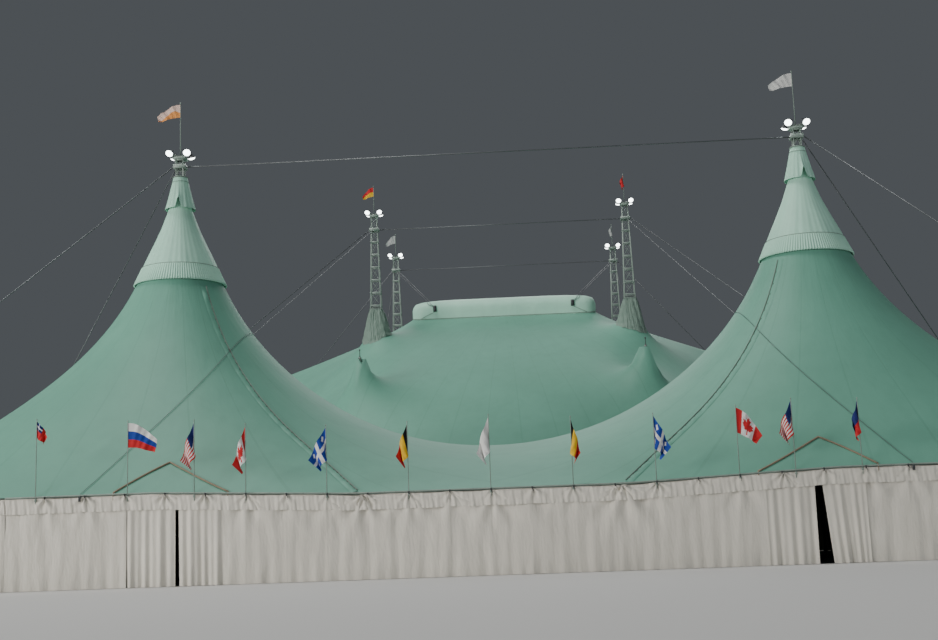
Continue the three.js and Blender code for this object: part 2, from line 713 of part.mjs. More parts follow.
function addBoots() {
  const whole = [1, -1].flatMap((signX) => [1, -1].flatMap((signY) => (
    patch(big, 0, big.length - 1, signX, signY, BIG_CENTRE_Y, false, false)
  )));
  const roof = toSolid(skin(whole, ROOF_CUT_DEPTH).translate(0, 0, GAP));
  for (const { side, row, x, y } of bigMasts) {
    const rings = [];
    for (let turn = 0; turn <= BOOT_TURNS; turn++) {
      const angle = (2 * Math.PI * (turn % BOOT_TURNS)) / BOOT_TURNS;
      rings.push(BOOT_PARTS.map((part) => {
        const square = Math.max(Math.abs(Math.cos(angle)), Math.abs(Math.sin(angle)));
        const inner = (BOOT_RING_HALF + GAP) / square;
        const radius = inner + (BOOT_RADIUS - inner) * part;
        const px = x + radius * Math.cos(angle);
        const py = y + radius * Math.sin(angle);
        const rest = bigHeight(px, py) + SKIN / 2;
        return point(px, py, rest + (BOOT_TOP + BOOT_HEM - rest) * (1 - part) ** BOOT_FLARE);
      }));
    }
    const boot = toSolid(skin(triangles(rings), SKIN)).subtract(roof);
    addPiece(`mast_boot_${row}_${side}`, 'boot_fabric', toGeometry(boot));
  }
}

// The cupola: a long box of cloth on a truss, round at its upper edges and open below

const CUPOLA_SHOULDER = 17.8;
const CUPOLA_ROUND = 0.45;
const CUPOLA_SLOPE = 2.2;
const CUPOLA_CROWN_RISE = 0.1;

function addCupola() {
  const turns = [];
  const even = bigAngles.filter((_, k) => k % 2 === 0);
  for (const signs of [[1, -1], [-1, -1], [-1, 1], [1, 1]]) {
    const list = signs[0] * signs[1] < 0 ? even : [...even].reverse();
    for (const angle of list.slice(0, -1)) turns.push({ angle, signs });
  }
  const ring = (inset, height) => turns.map(({ angle, signs }) => {
    const [x, y] = cupolaOutline(angle, inset);
    return [signs[0] * x, BIG_CENTRE_Y + signs[1] * y, height(y)];
  });
  const foot = (y) => cupolaBase(y) - SKIN;
  const crown = CUPOLA_CROWN - CUPOLA_CROWN_RISE;
  const rings = [
    [[0, BIG_CENTRE_Y, CUPOLA_CROWN - SKIN]],
    ring(CUPOLA_ROUND + SKIN, () => CUPOLA_TOP - SKIN),
    ring(SKIN, () => CUPOLA_SHOULDER),
    ring(SKIN, foot),
    ring(0, foot),
    ring(0, () => CUPOLA_SHOULDER),
    ring(CUPOLA_ROUND / 3, () => (CUPOLA_SHOULDER + 2 * CUPOLA_TOP) / 3),
    ring(CUPOLA_ROUND, () => CUPOLA_TOP),
    ring(CUPOLA_SLOPE, () => crown),
    [[0, BIG_CENTRE_Y, CUPOLA_CROWN]],
  ];
  addPiece('cupola', 'hood_fabric', scaled(loft(rings.reverse())));
}

// Walls and doors

const WALL_KNEES = [HALL_EAVE_LEVEL_X, HALL_SEAM_X, -HALL_SEAM_X, -HALL_EAVE_LEVEL_X];

function wallTop(x) {
  return eaveHeight(x) - SKIN - GAP;
}

// A straight wall under the hall's eave from x0 to x1, standing on z0.
function hallWall(name, x0, x1, z0, yFront) {
  const stops = [x1, ...WALL_KNEES.filter((x) => x > x0 && x < x1), x0];
  const outline = [[x0, z0], [x1, z0], ...stops.map((x) => [x, wallTop(x)])];
  addPiece(name, 'wall_fabric', scaled(sheet(outline, yFront, WALL)));
}

const CURTAINS = [
  { name: 'door_curtain_left_outer', foot: [-DOOR_OUTER_X, -12.16], head: [-DOOR_OUTER_X, -12.15] },
  { name: 'door_curtain_left_inner', foot: [-12.0, -DOOR_INNER_X], head: [-12.03, -DOOR_INNER_X] },
  { name: 'door_curtain_right_inner', foot: [DOOR_INNER_X, 12.14], head: [DOOR_INNER_X, 12.16] },
  { name: 'door_curtain_right_outer', foot: [12.69, DOOR_OUTER_X], head: [12.45, DOOR_OUTER_X] },
];

function addHallWalls() {
  hallWall('hall_wall_front_middle', -DOOR_INNER_X + GAP, DOOR_INNER_X - GAP, 0, 0);
  hallWall('hall_wall_front_left', -HALL_END_X, -DOOR_OUTER_X - GAP, 0, 0);
  hallWall('hall_wall_front_right', DOOR_OUTER_X + GAP, HALL_END_X, 0, 0);
  hallWall('door_head_left', -DOOR_OUTER_X, -DOOR_INNER_X, DOOR_HEIGHT + GAP, 0);
  hallWall('door_head_right', DOOR_INNER_X, DOOR_OUTER_X, DOOR_HEIGHT + GAP, 0);
  for (const { name, foot, head } of CURTAINS) {
    const outline = [[foot[0], 0], [foot[1], 0], [head[1], DOOR_HEIGHT], [head[0], DOOR_HEIGHT]];
    addPiece(name, 'wall_fabric', scaled(sheet(outline, 0, WALL)));
  }
  const jamb = PASSAGE_HALF + WALL + GAP;
  hallWall('hall_wall_back_left', -HALL_END_X, -jamb, 0, HALL_DEPTH - WALL);
  hallWall('hall_wall_back_right', jamb, HALL_END_X, 0, HALL_DEPTH - WALL);
  const arc = hall.map((ray) => ray.at(-1)).filter((p) => p.x > HALL_END_X - 1e-6);
  const end = [...arc, ...arc.slice(0, -1).reverse().map((p) => ({ x: p.x, y: -p.y }))];
  for (const [side, signX] of [['left', -1], ['right', 1]]) {
    const line = end.map((p) => [signX * (p.x + GAP), HALL_RIDGE_Y + p.y]);
    const wall = curvedWall(line, [signX * HALL_END_X, HALL_RIDGE_Y], HALL_EAVE_OUTER - SKIN - GAP);
    addPiece(`hall_wall_end_${side}`, 'wall_fabric', scaled(wall));
  }
}

const BIG_WALL_CUTS = [0, 60, 120];
const BIG_WALL_STEP = 6;

function addBigWalls() {
  const start = (Math.asin((PASSAGE_HALF + WALL + GAP) / (BIG_RADIUS - WALL)) * 180) / Math.PI;
  const cuts = [start, ...BIG_WALL_CUTS.slice(1), 180];
  for (const [side, signX] of [['left', -1], ['right', 1]]) {
    ['front', 'side', 'rear'].forEach((row, k) => {
      const count = Math.round((cuts[k + 1] - cuts[k]) / BIG_WALL_STEP);
      const angles = spread([cuts[k], cuts[k + 1]], [count]).map((angle) => (angle * Math.PI) / 180);
      const half = GAP / 2 / BIG_RADIUS;
      if (k > 0) angles[0] += half;
      angles[angles.length - 1] -= half;
      const line = angles.map((angle) => (
        [signX * BIG_RADIUS * Math.sin(angle), BIG_CENTRE_Y - BIG_RADIUS * Math.cos(angle)]
      ));
      const wall = curvedWall(line, [0, BIG_CENTRE_Y], BIG_EAVE - SKIN - GAP);
      addPiece(`big_wall_${row}_${side}`, 'wall_fabric', scaled(wall));
    });
  }
}

function addPassage() {
  const outer = PASSAGE_HALF + WALL;
  const top = BIG_EAVE - SKIN - GAP;
  const outline = [
    [-outer, 0], [-PASSAGE_HALF, 0], [-PASSAGE_HALF, PASSAGE_HEIGHT],
    [PASSAGE_HALF, PASSAGE_HEIGHT], [PASSAGE_HALF, 0], [outer, 0], [outer, top], [-outer, top],
  ];
  const reach = BIG_CENTRE_Y - Math.sqrt((BIG_RADIUS - WALL) ** 2 - outer ** 2);
  const from = HALL_DEPTH - WALL;
  addPiece('passage', 'wall_fabric', scaled(sheet(outline, from, reach - from)));
}

// Cables

const COLLAR_HEIGHT = 0.2;
const COLLAR_WALL = 0.08;
const COLLAR_FIT = 1.7 * GAP;

function collar(x, y, z, half) {
  const hole = half + CHORD / 2 + COLLAR_FIT;
  const outer = toSolid(centredBox(x, y, hole + COLLAR_WALL, z, z + COLLAR_HEIGHT));
  return outer.subtract(toSolid(centredBox(x, y, hole, z - 1, z + 1)));
}

function guys(x, y, z, edge, anchors) {
  const pieces = [];
  for (const [ax, ay] of anchors) {
    const foot = [Math.sign(x) * ax, ay, ANCHOR_HEIGHT / 2];
    const out = [foot[0] - x, foot[1] - y];
    const part = edge / Math.max(Math.abs(out[0]), Math.abs(out[1]));
    const head = [x + out[0] * part, y + out[1] * part, z + COLLAR_HEIGHT / 2];
    pieces.push(cable([head, foot]));
    pieces.push(centredBox(foot[0], foot[1], ANCHOR / 2, 0, ANCHOR_HEIGHT));
  }
  return pieces;
}

// A pair of masts at plus and minus x share a span cable, and each has its own guys and collar.
function cableSet(name, x, y, z, half, anchors, more) {
  const edge = half + CHORD / 2 + COLLAR_FIT + COLLAR_WALL / 2;
  const middle = z + COLLAR_HEIGHT / 2;
  const pieces = [cable([[-x + edge, y, middle], [x - edge, y, middle]])];
  for (const sign of [-1, 1]) {
    pieces.push(...guys(sign * x, y, z, edge, anchors), ...more(sign, edge, middle));
  }
  for (const sign of [-1, 1]) pieces.push(collar(sign * x, y, z, half));
  addPiece(name, 'cable_steel', toGeometry(joined(pieces)));
}

const STAY_STEPS = 12;
const STAY_END_Y = 0.01;
const CLAMP_HALF = 0.12;
const CLAMP_HEIGHT = 0.4;
const CLAMP_GRIP = 0.05;

function roofStay(sign, edge, z) {
  const mastY = BIG_CENTRE_Y - BIG_MAST_Y;
  const points = [[sign * BIG_MAST_X, mastY - edge, z]];
  for (let step = 0; step <= STAY_STEPS; step++) {
    const part = step / STAY_STEPS;
    const x = STAY_RIDGE_X + (STAY_EAVE_X - STAY_RIDGE_X) * part ** 2;
    const y = Math.max(HALL_RIDGE_Y * (1 - part), STAY_END_Y);
    points.push([sign * x, y, hallHeight(x, y) + STAY_CLEARANCE]);
  }
  const [x, , height] = points.at(-1);
  const face = -(RAIL + 2 * GAP);
  const clamp = box(
    x - CLAMP_HALF, x + CLAMP_HALF, face - CLAMP_HALF, face, height - CLAMP_HEIGHT, height,
  );
  return [cable([...points, [x, face - CLAMP_HALF / 2, height - CLAMP_GRIP]]), clamp];
}

const FITTING_X = 5.0;
const FITTING_LOW = 17.55;
const FITTING_HEIGHT = 0.5;
const FITTING_HALF_WIDTH = 0.13;
const FITTING_DEPTH = 0.2;
const LINE_RISE = 0.2;
const LINE_OVER_X = 5.5;

function cupolaLine(sign, edge, z) {
  const mastY = BIG_CENTRE_Y + BIG_MAST_Y;
  const face = BIG_CENTRE_Y - CUPOLA_HALF_DEPTH;
  const start = [sign * BIG_MAST_X, mastY - edge, z];
  const x = sign * FITTING_X;
  const over = [sign * LINE_OVER_X, face - FITTING_DEPTH / 2, CUPOLA_TOP + LINE_RISE];
  const fitting = box(
    x - FITTING_HALF_WIDTH, x + FITTING_HALF_WIDTH, face - FITTING_DEPTH, face - GAP,
    FITTING_LOW, FITTING_LOW + FITTING_HEIGHT,
  );
  return [cable([start, over, [x, over[1], FITTING_LOW + FITTING_HEIGHT / 2]]), fitting];
}

function addCables() {
  const front = BIG_CENTRE_Y - BIG_MAST_Y;
  const rear = BIG_CENTRE_Y + BIG_MAST_Y;
  const half = bigMastHalf(BIG_COLLAR_Z);
  cableSet('hall_cables', HALL_MAST_X, HALL_RIDGE_Y, HALL_COLLAR_Z, HALL_MAST_HALF, HALL_GUYS, () => []);
  cableSet('big_cables_front', BIG_MAST_X, front, BIG_COLLAR_Z, half, BIG_FRONT_GUYS, roofStay);
  cableSet('big_cables_rear', BIG_MAST_X, rear, BIG_COLLAR_Z, half, BIG_REAR_GUYS, cupolaLine);
}

// Flags along the eave, on poles that a rail carries

const POLE_FOOT_DROP = 0.3;

function addEaveFlags() {
  const y = -RAIL / 2 - GAP;
  const stops = [HALL_END_X, ...WALL_KNEES, -HALL_END_X];
  const pieces = [tube(stops.map((x) => [x, y, eaveHeight(x)]), RAIL, 4)];
  for (const { x, tip, ...flag } of EAVE_FLAGS) {
    const eave = eaveHeight(x);
    pieces.push(bar([x, y, eave - POLE_FOOT_DROP], [x, y, eave + tip], FLAGPOLE, 4));
    pieces.push(...flagPlate(x, y, eave + tip, flag));
  }
  addPiece('eave_flags', 'flag_cloth', toGeometry(joined(pieces)));
}

// Assembly

addHallRoof();
addBigRoof();
addHoods();
addHallMasts();
addBigMasts();
addQuarterPoles();
addBoots();
addCupola();
addHallWalls();
addBigWalls();
addPassage();
addCables();
addEaveFlags();

// The origin is the middle of the whole footprint, on the ground.
const footprint = new THREE.Box3().setFromObject(tent);
tent.position.y = -(footprint.min.y + footprint.max.y) / 2;

export default tent;
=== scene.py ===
"""A circus tent at half size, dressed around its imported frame.

Places and sizes are the real tent's in metres, as in the part's own source: X runs to the right
along the front wall, Y from that wall to the back, Z up. place() turns them into the model's.
"""

import math

import bpy
import numpy as np
from mathutils import Matrix, Vector
from mathutils.bvhtree import BVHTree


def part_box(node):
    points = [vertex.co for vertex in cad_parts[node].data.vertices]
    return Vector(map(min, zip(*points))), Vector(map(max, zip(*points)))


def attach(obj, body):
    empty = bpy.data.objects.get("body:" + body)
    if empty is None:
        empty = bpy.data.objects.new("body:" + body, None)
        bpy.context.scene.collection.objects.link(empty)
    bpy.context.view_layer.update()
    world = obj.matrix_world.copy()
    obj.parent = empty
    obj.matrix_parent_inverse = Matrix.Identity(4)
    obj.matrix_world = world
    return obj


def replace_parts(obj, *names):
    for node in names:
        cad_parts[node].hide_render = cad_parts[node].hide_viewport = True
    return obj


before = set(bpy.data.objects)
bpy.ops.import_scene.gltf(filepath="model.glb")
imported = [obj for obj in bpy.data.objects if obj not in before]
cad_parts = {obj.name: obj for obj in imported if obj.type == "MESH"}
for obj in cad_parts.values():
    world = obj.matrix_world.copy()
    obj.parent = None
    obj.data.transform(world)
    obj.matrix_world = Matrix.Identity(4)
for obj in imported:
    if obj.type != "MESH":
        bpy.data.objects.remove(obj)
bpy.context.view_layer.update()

SCALE = 0.5
SHIFT_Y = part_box("hall_wall_front_middle")[0].y

# The photograph's camera, fitted to the tent
PHOTO_WIDTH = 938
FOCAL_PIXELS = 1300
SENSOR_WIDTH = 36
CAMERA_PLACE = (1.636, -49.7769, 1.6)
CAMERA_PITCH = 0.1624
CAMERA_YAW = 0.0449
CAMERA_ROLL = -0.0366

# Entrance hall
HALL_DEPTH = 21
RIDGE_Y = HALL_DEPTH / 2
HALL_END_X = 18.8
HALL_MAST_X = 14.8
SEAM_X = 5.2
LEVEL_X = 13
EAVE_MIDDLE = 3.26
EAVE_OUTER = 3.57
TOP_RADIUS = 0.9
TOP_HEIGHT = 16.0
NECK_RADIUS = 2.05
NECK_HEIGHT = 13.7
LOAD_OUTER = 0.067
LOAD_MIDDLE = -0.015
LOAD_FROM_X = 5
LOAD_TO_X = 14
HALL_MAST_HALF = 0.17
HALL_MAST_TOP = 20.0
HALL_POLE_TIP = 22.85
HALL_COLLAR_Z = 19.5

# Big top
CENTRE_Y = 46.9
BIG_RADIUS = 25.5
BIG_LOAD = 0.015
BIG_MAST_X = 8.85
BIG_MAST_Y = 7.25
BIG_MAST_HALF = 0.36
BIG_MAST_TOP_HALF = 0.18
BIG_TAPER_Z = 17.4
BIG_MAST_TOP = 24.0
BIG_POLE_TIP = 26.2
REAR_POLE_TIP = BIG_POLE_TIP - 0.2
BIG_COLLAR_Z = 22.9
MAST_ROOF_Z = 15.9
RIDGE_SAG = 0.12
MAST_ROOF_RADIUS = 0.58
CUPOLA_WIDTH = 6.7
CUPOLA_DEPTH = 3.6
CUPOLA_CORNER = 0.9
CUPOLA_BASE = 17.0
CUPOLA_RISE = 0.45
CUPOLA_SHOULDER = 17.8
CUPOLA_ROUND = 0.45
CUPOLA_TOP = 18.4
CUPOLA_CROWN = 18.9
QUARTER_POLES = ((9, 15.6, 12.7), (18, 0, 13.3))
QUARTER_RADIUS = 0.09
QUARTER_TIP = 0.6
BOOT_TOP = 17.25
BOOT_RADIUS = 1.05
BOOT_FLARE = 1.2

# Doors and passage
DOOR_INNER_X = 10.33
DOOR_OUTER_X = 14.05
DOOR_HEIGHT = 2.95
PASSAGE_HALF = 2.5
PASSAGE_HEIGHT = 3.0

# Cables and anchors
HALL_GUYS = ((34.5, 0.5), (31, 24))
BIG_FRONT_GUYS = ((33.5, 28),)
BIG_REAR_GUYS = ((33, 70), (16, 76))
STAY_RIDGE_X = 11.3
STAY_EAVE_X = 15.85
FITTING_X = 5.0
FITTING_Z = 17.8
LINE_OVER_X = 5.5

SIDES = (("left", -1), ("right", 1))
ROWS = (("front", -1), ("rear", 1))
CORNERS = ((-1, -1), (1, -1), (1, 1), (-1, 1))


# Shared tools


def place(points):
    """Real places to the model's."""
    return np.asarray(points, float) * SCALE + (0, SHIFT_Y, 0)


def grid_faces(rows, columns, closed=False):
    """The quads of a grid of points, row by row; closed joins its last column to its first."""
    index = np.arange(rows * columns).reshape(rows, columns)
    if closed:
        index = np.hstack([index, index[:, :1]])
    corners = [index[:-1, :-1], index[:-1, 1:], index[1:, 1:], index[1:, :-1]]
    return np.stack(corners, -1).reshape(-1, 4)


class Parts:
    """Points and faces gathered into one mesh."""

    def __init__(self):
        self.points = []
        self.faces = []
        self.count = 0

    def add(self, points, faces):
        points = np.asarray(points, float).reshape(-1, 3)
        self.points.append(points)
        self.faces.extend(tuple(int(i) + self.count for i in face) for face in faces)
        self.count += len(points)

    def object(self, name, material, slot, smooth=True):
        return add_mesh(name, np.vstack(self.points), self.faces, material, slot, smooth=smooth)


def add_object(name, data):
    made = bpy.data.objects.new(name, data)
    bpy.context.scene.collection.objects.link(made)
    return made


def add_mesh(name, points, faces, material, slot, uv=None, smooth=True):
    """A piece in the model's place, riding on the tent, with an optional u and v for each point."""
    mesh = bpy.data.meshes.new(name)
    mesh.from_pydata(place(points).tolist(), [], [tuple(int(i) for i in face) for face in faces])
    if uv is not None:
        loops = np.empty(len(mesh.loops), np.int32)
        mesh.loops.foreach_get("vertex_index", loops)
        layer = mesh.uv_layers.new(name="UVMap")
        layer.data.foreach_set("uv", np.asarray(uv, np.float32)[loops].ravel())
    mesh.polygons.foreach_set("use_smooth", [smooth] * len(mesh.polygons))
    mesh.materials.append(material)
    mesh.update()
    piece = add_object(name, mesh)
    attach(piece, "root")
    return piece


def line_length(line):
    return float(np.linalg.norm(np.diff(np.asarray(line, float), axis=0), axis=1).sum())


def turned_area(profile):
    """The plain area of a turned shape, without folds, from its profile of [radius, z]."""
    pairs = zip(profile[:-1], profile[1:])
    return sum(math.pi * (a[0] + b[0]) * math.hypot(b[0] - a[0], b[1] - a[1]) for a, b in pairs)


def ring(centre, along, radius, sides):
    """A ring of points square to a direction."""
    along = Vector(along).normalized()
    side = Vector((1, 0, 0)) if abs(along.z) > 0.999 else Vector((-along.y, along.x, 0)).normalized()
    up = along.cross(side)
    turns = [2 * math.pi * (k + 0.5) / sides for k in range(sides)]
    return [
        Vector(centre) + radius * (math.cos(turn) * side + math.sin(turn) * up) for turn in turns
    ]


def rope(points, radius, sides=8):
    """A round bar along a line of points, closed at its ends. One radius, or one for each point."""
    line = [Vector(p) for p in points]
    radii = [radius] * len(line) if isinstance(radius, (int, float)) else radius
    rings = []
    for k, p in enumerate(line):
        along = line[min(k + 1, len(line) - 1)] - line[max(k - 1, 0)]
        rings.extend(ring(p, along, radii[k], sides))
    faces = [tuple(face) for face in grid_faces(len(line), sides, closed=True)]
    faces.append(tuple(range(sides))[::-1])
    faces.append(tuple(range(sides * (len(line) - 1), sides * len(line))))
    return rings, faces


def upright(x, y, heights, radius, sides):
    """A round bar straight up through some heights."""
    return rope([(x, y, z) for z in heights], radius, sides)


def lathe(profile, turns, centre, bend=None):
    """A turned shape round an upright line: rings of [radius, z], bent by an optional function."""
    points = []
    for row, (radius, z) in enumerate(profile):
        for k in range(turns):
            turn = 2 * math.pi * k / turns
            r, height = (radius, z) if bend is None else bend(row, turn, radius, z)
            points.append((centre[0] + r * math.cos(turn), centre[1] + r * math.sin(turn), height))
    return points, grid_faces(len(profile), turns, closed=True)


def block(centre, size, bevel=0.0):
    """A box with an even chamfer round its upright edges."""
    x, y, z = centre
    half_x, half_y, half_z = (value / 2 for value in size)
    cut = min(bevel, half_x * 0.9, half_y * 0.9)
    outline = [
        (half_x - cut, -half_y), (half_x, cut - half_y), (half_x, half_y - cut), (half_x - cut, half_y),
        (cut - half_x, half_y), (-half_x, half_y - cut), (-half_x, cut - half_y), (cut - half_x, -half_y),
    ]
    points = [(x + px, y + py, z + pz) for pz in (-half_z, half_z) for px, py in outline]
    faces = [tuple(face) for face in grid_faces(2, 8, closed=True)]
    return points, [*faces, tuple(range(8))[::-1], tuple(range(8, 16))]


def hoop(centre, radius, z, count):
    """A level ring of points whose last one is its first again."""
    turns = np.linspace(0, 2 * math.pi, count)
    return [(centre[0] + radius * math.cos(t), centre[1] + radius * math.sin(t), z) for t in turns]


def square_band(parts, centre, reach, lengths, thick, height, bevel):
    """Four flat bars round a square, with one length for those along X and one for those along Y."""
    x, y, z = centre
    for way in (-1, 1):
        parts.add(*block((x, y + way * reach, z), (lengths[0], thick, height), bevel))
    for way in (-1, 1):
        parts.add(*block((x + way * reach, y, z), (thick, lengths[1], height), bevel))


# Materials


def new_material(name, **values):
    """A material with its shader's plain values set on their own sockets."""
    made = bpy.data.materials.new(name)
    made.use_nodes = True
    shader = made.node_tree.nodes["Principled BSDF"]
    for socket, value in values.items():
        shader.inputs[socket.replace("_", " ")].default_value = value
    return made, made.node_tree, shader


def feed(tree, socket, value):
    """Links another node's output into a socket, or sets a plain value on it."""
    if isinstance(value, bpy.types.NodeSocket):
        tree.links.new(value, socket)
    else:
        socket.default_value = value


def add_node(tree, kind, **inputs):
    made = tree.nodes.new(kind)
    for socket, value in inputs.items():
        feed(tree, made.inputs[socket.replace("_", " ")], value)
    return made


def arithmetic(tree, operation, *values):
    made = tree.nodes.new("ShaderNodeMath")
    made.operation = operation
    for socket, value in zip(made.inputs, values):
        feed(tree, socket, value)
    return made.outputs[0]


def blend_colours(tree, share, first, second):
    made = tree.nodes.new("ShaderNodeMix")
    made.data_type = "RGBA"
    for index, value in ((0, share), (6, first), (7, second)):
        feed(tree, made.inputs[index], value)
    return made.outputs[2]


def noise(tree, where, scale, detail=3.0, roughness=0.55, stretch=(1, 1, 1)):
    mapping = add_node(tree, "ShaderNodeMapping", Vector=where, Scale=stretch)
    made = add_node(
        tree, "ShaderNodeTexNoise",
        Vector=mapping.outputs[0], Scale=scale, Detail=detail, Roughness=roughness,
    )
    return made.outputs[0]


def spread_out(tree, value, low, high):
    """Stretches a noise's middle range to 0 to 1."""
    return add_node(tree, "ShaderNodeMapRange", Value=value, From_Min=low, From_Max=high).outputs[0]


def bump(tree, height, distance, strength=1.0, base=None):
    made = add_node(tree, "ShaderNodeBump", Height=height, Distance=distance, Strength=strength)
    if base is not None:
        tree.links.new(base, made.inputs["Normal"])
    return made.outputs[0]


def tint(colour, factor):
    return (*[min(1.0, channel * factor) for channel in colour], 1.0)


def cloth(name, colour, roughness, gloss=0.35, seam_every=None, creases=0.004, crease_scale=0.6):
    """Coated cloth: soft blotches, long creases, a fine weave, and welds at each whole u."""
    made, tree, shader = new_material(
        name, Roughness=roughness, Specular_IOR_Level=gloss, Sheen_Weight=0.02,
    )
    where = tree.nodes.new("ShaderNodeTexCoord")
    place_on, flat = where.outputs["Object"], where.outputs["UV"]
    blotches = spread_out(tree, noise(tree, place_on, 0.35, 4), 0.35, 0.65)
    grime = spread_out(tree, noise(tree, place_on, 3.0, 5, stretch=(1, 1, 0.35)), 0.45, 0.75)
    shade = blend_colours(tree, blotches, tint(colour, 0.93), tint(colour, 1.04))
    shade = blend_colours(tree, arithmetic(tree, "MULTIPLY", grime, 0.35), shade, tint(colour, 0.82))
    folds = noise(tree, flat, crease_scale, 3, stretch=(3.0, 0.5, 1))
    normal = bump(tree, folds, creases)
    weave = add_node(tree, "ShaderNodeTexNoise", Vector=place_on, Scale=240.0, Detail=1.0)
    normal = bump(tree, weave.outputs[0], 0.0004, 0.5, normal)
    if seam_every:
        split = add_node(tree, "ShaderNodeSeparateXYZ", Vector=flat)
        part = arithmetic(tree, "FRACT", arithmetic(tree, "DIVIDE", split.outputs[0], seam_every))
        away = arithmetic(tree, "ABSOLUTE", arithmetic(tree, "SUBTRACT", part, 0.5))
        weld = arithmetic(tree, "LESS_THAN", away, 0.02)
        shade = blend_colours(tree, arithmetic(tree, "MULTIPLY", weld, 0.22), shade, tint(colour, 0.72))
        normal = bump(tree, weld, 0.002, 0.6, normal)
    tree.links.new(shade, shader.inputs["Base Color"])
    tree.links.new(normal, shader.inputs["Normal"])
    return made


def painted(name, colour, roughness, metallic=0.0, scuff=0.5):
    """Paint or bare metal with scuffs, streaks and a little orange peel."""
    made, tree, shader = new_material(name, Metallic=metallic, Specular_IOR_Level=0.5)
    where = tree.nodes.new("ShaderNodeTexCoord").outputs["Object"]
    patches = spread_out(tree, noise(tree, where, 2.2, 5), 0.4, 0.7)
    specks = spread_out(tree, noise(tree, where, 26.0, 4), 0.56, 0.68)
    shade = blend_colours(tree, patches, tint(colour, 1.05), tint(colour, 0.88))
    worn = arithmetic(tree, "MULTIPLY", specks, scuff)
    shade = blend_colours(tree, worn, shade, tint(colour, 0.55))
    rough = arithmetic(tree, "MULTIPLY_ADD", patches, 0.14, roughness)
    tree.links.new(shade, shader.inputs["Base Color"])
    tree.links.new(rough, shader.inputs["Roughness"])
    tree.links.new(bump(tree, specks, 0.0006, 0.5), shader.inputs["Normal"])
    return made


def lamp_glass():
    made, tree, shader = new_material("lamp_glass", Roughness=0.2, Emission_Strength=9.0)
    where = tree.nodes.new("ShaderNodeTexCoord").outputs["Object"]
    ribs = spread_out(tree, noise(tree, where, 30.0, 2), 0.3, 0.7)
    shade = blend_colours(tree, ribs, (0.86, 0.95, 0.92, 1), (0.95, 1.0, 0.98, 1))
    tree.links.new(shade, shader.inputs["Base Color"])
    tree.links.new(shade, shader.inputs["Emission Color"])
    return made


ROOF = cloth("roof_membrane", (0.155, 0.385, 0.29), 0.55, gloss=0.2, seam_every=1, creases=0.012)
HOOD = cloth("hood_membrane", (0.46, 0.78, 0.63), 0.5, gloss=0.25, creases=0.02, crease_scale=1.2)
WALL = cloth("wall_cloth", (0.80, 0.765, 0.68), 0.65, gloss=0.3, seam_every=1, creases=0.03, crease_scale=1.5)
BOOT = cloth("boot_cloth", (0.235, 0.33, 0.28), 0.5, creases=0.08, crease_scale=3.5)
TRIM = cloth("trim_webbing", (0.30, 0.24, 0.17), 0.8, creases=0.004)
STEEL = painted("mast_paint", (0.27, 0.34, 0.30), 0.38)
WIRE = painted("wire_rope", (0.16, 0.17, 0.18), 0.42, metallic=0.8)
DARK = painted("dark_fitting", (0.05, 0.055, 0.06), 0.5)
HEM = cloth("hem_webbing", (0.20, 0.25, 0.22), 0.75, creases=0.003)
GLASS = lamp_glass()
FLAG_COLOURS = {
    "white": (0.82, 0.82, 0.80),
    "red": (0.62, 0.03, 0.035),
    "blue": (0.02, 0.06, 0.36),
    "navy": (0.02, 0.03, 0.16),
    "black": (0.015, 0.015, 0.018),
    "yellow": (0.85, 0.52, 0.03),
    # Orange is only the painted shade on the pink flag's lower part.
    "orange": (0.80, 0.33, 0.10),
    "pink": (0.80, 0.58, 0.50),
    "grey": (0.45, 0.47, 0.47),
}
flag_cloths = {name: cloth(f"flag_{name}", colour, 0.8, gloss=0.2) for name, colour in FLAG_COLOURS.items()}


# Membranes


def spread(keys, counts):
    """Values that go from key to key in even steps."""
    values = [keys[0]]
    for low, high, count in zip(keys, keys[1:], counts):
        values.extend(low + (high - low) * step / count for step in range(1, count + 1))
    return np.array(values)


def settle(x, y, z, fixed, load):
    """Heights of a net under an even pull: a free point rests at its neighbours' weighted mean."""
    index = np.arange(x.size).reshape(x.shape)
    a, b, c, d = index[:-1, :-1], index[1:, :-1], index[1:, 1:], index[:-1, 1:]
    halves = [np.stack(three, -1).reshape(-1, 3) for three in ((a, b, c), (a, c, d))]
    corners = np.concatenate(halves)
    x, y, height, free = x.ravel(), y.ravel(), z.ravel().copy(), ~fixed.ravel()
    p, q, r = corners.T
    twice_area = np.abs((x[q] - x[p]) * (y[r] - y[p]) - (y[q] - y[p]) * (x[r] - x[p]))
    pull = np.zeros((x.size, x.size))
    area = np.zeros(x.size)
    for k in range(3):
        p, q, r = corners[:, k], corners[:, (k + 1) % 3], corners[:, (k + 2) % 3]
        weight = (x[q] - x[p]) * (x[r] - x[p]) + (y[q] - y[p]) * (y[r] - y[p])
        np.add.at(pull, (q, r), weight / (2 * twice_area))
        np.add.at(pull, (r, q), weight / (2 * twice_area))
        np.add.at(area, p, twice_area / 6)
    held = pull[np.ix_(free, ~free)] @ height[~free]
    balance = np.diag(pull.sum(1)[free]) - pull[np.ix_(free, free)]
    height[free] = np.linalg.solve(balance, held + (load.ravel() * area)[free])
    return height.reshape(z.shape)


def eave_height(x):
    outward = np.clip((np.abs(x) - SEAM_X) / (LEVEL_X - SEAM_X), 0, 1)
    return EAVE_MIDDLE + (EAVE_OUTER - EAVE_MIDDLE) * outward


def hall_reach(angle):
    """How far a ray from a mast goes in plan: to the middle line, the front eave or the round end."""
    inward, forward = math.cos(angle), math.sin(angle)
    to_middle = HALL_MAST_X / inward if inward > 0 else math.inf
    to_eave = RIDGE_Y / forward if forward > 1e-9 else math.inf
    nearest = min(to_middle, to_eave)
    if HALL_MAST_X - nearest * inward <= HALL_END_X:
        return nearest
    offset = HALL_END_X - HALL_MAST_X
    return -offset * inward + math.sqrt((offset * inward) ** 2 + RIDGE_Y**2 - offset**2)


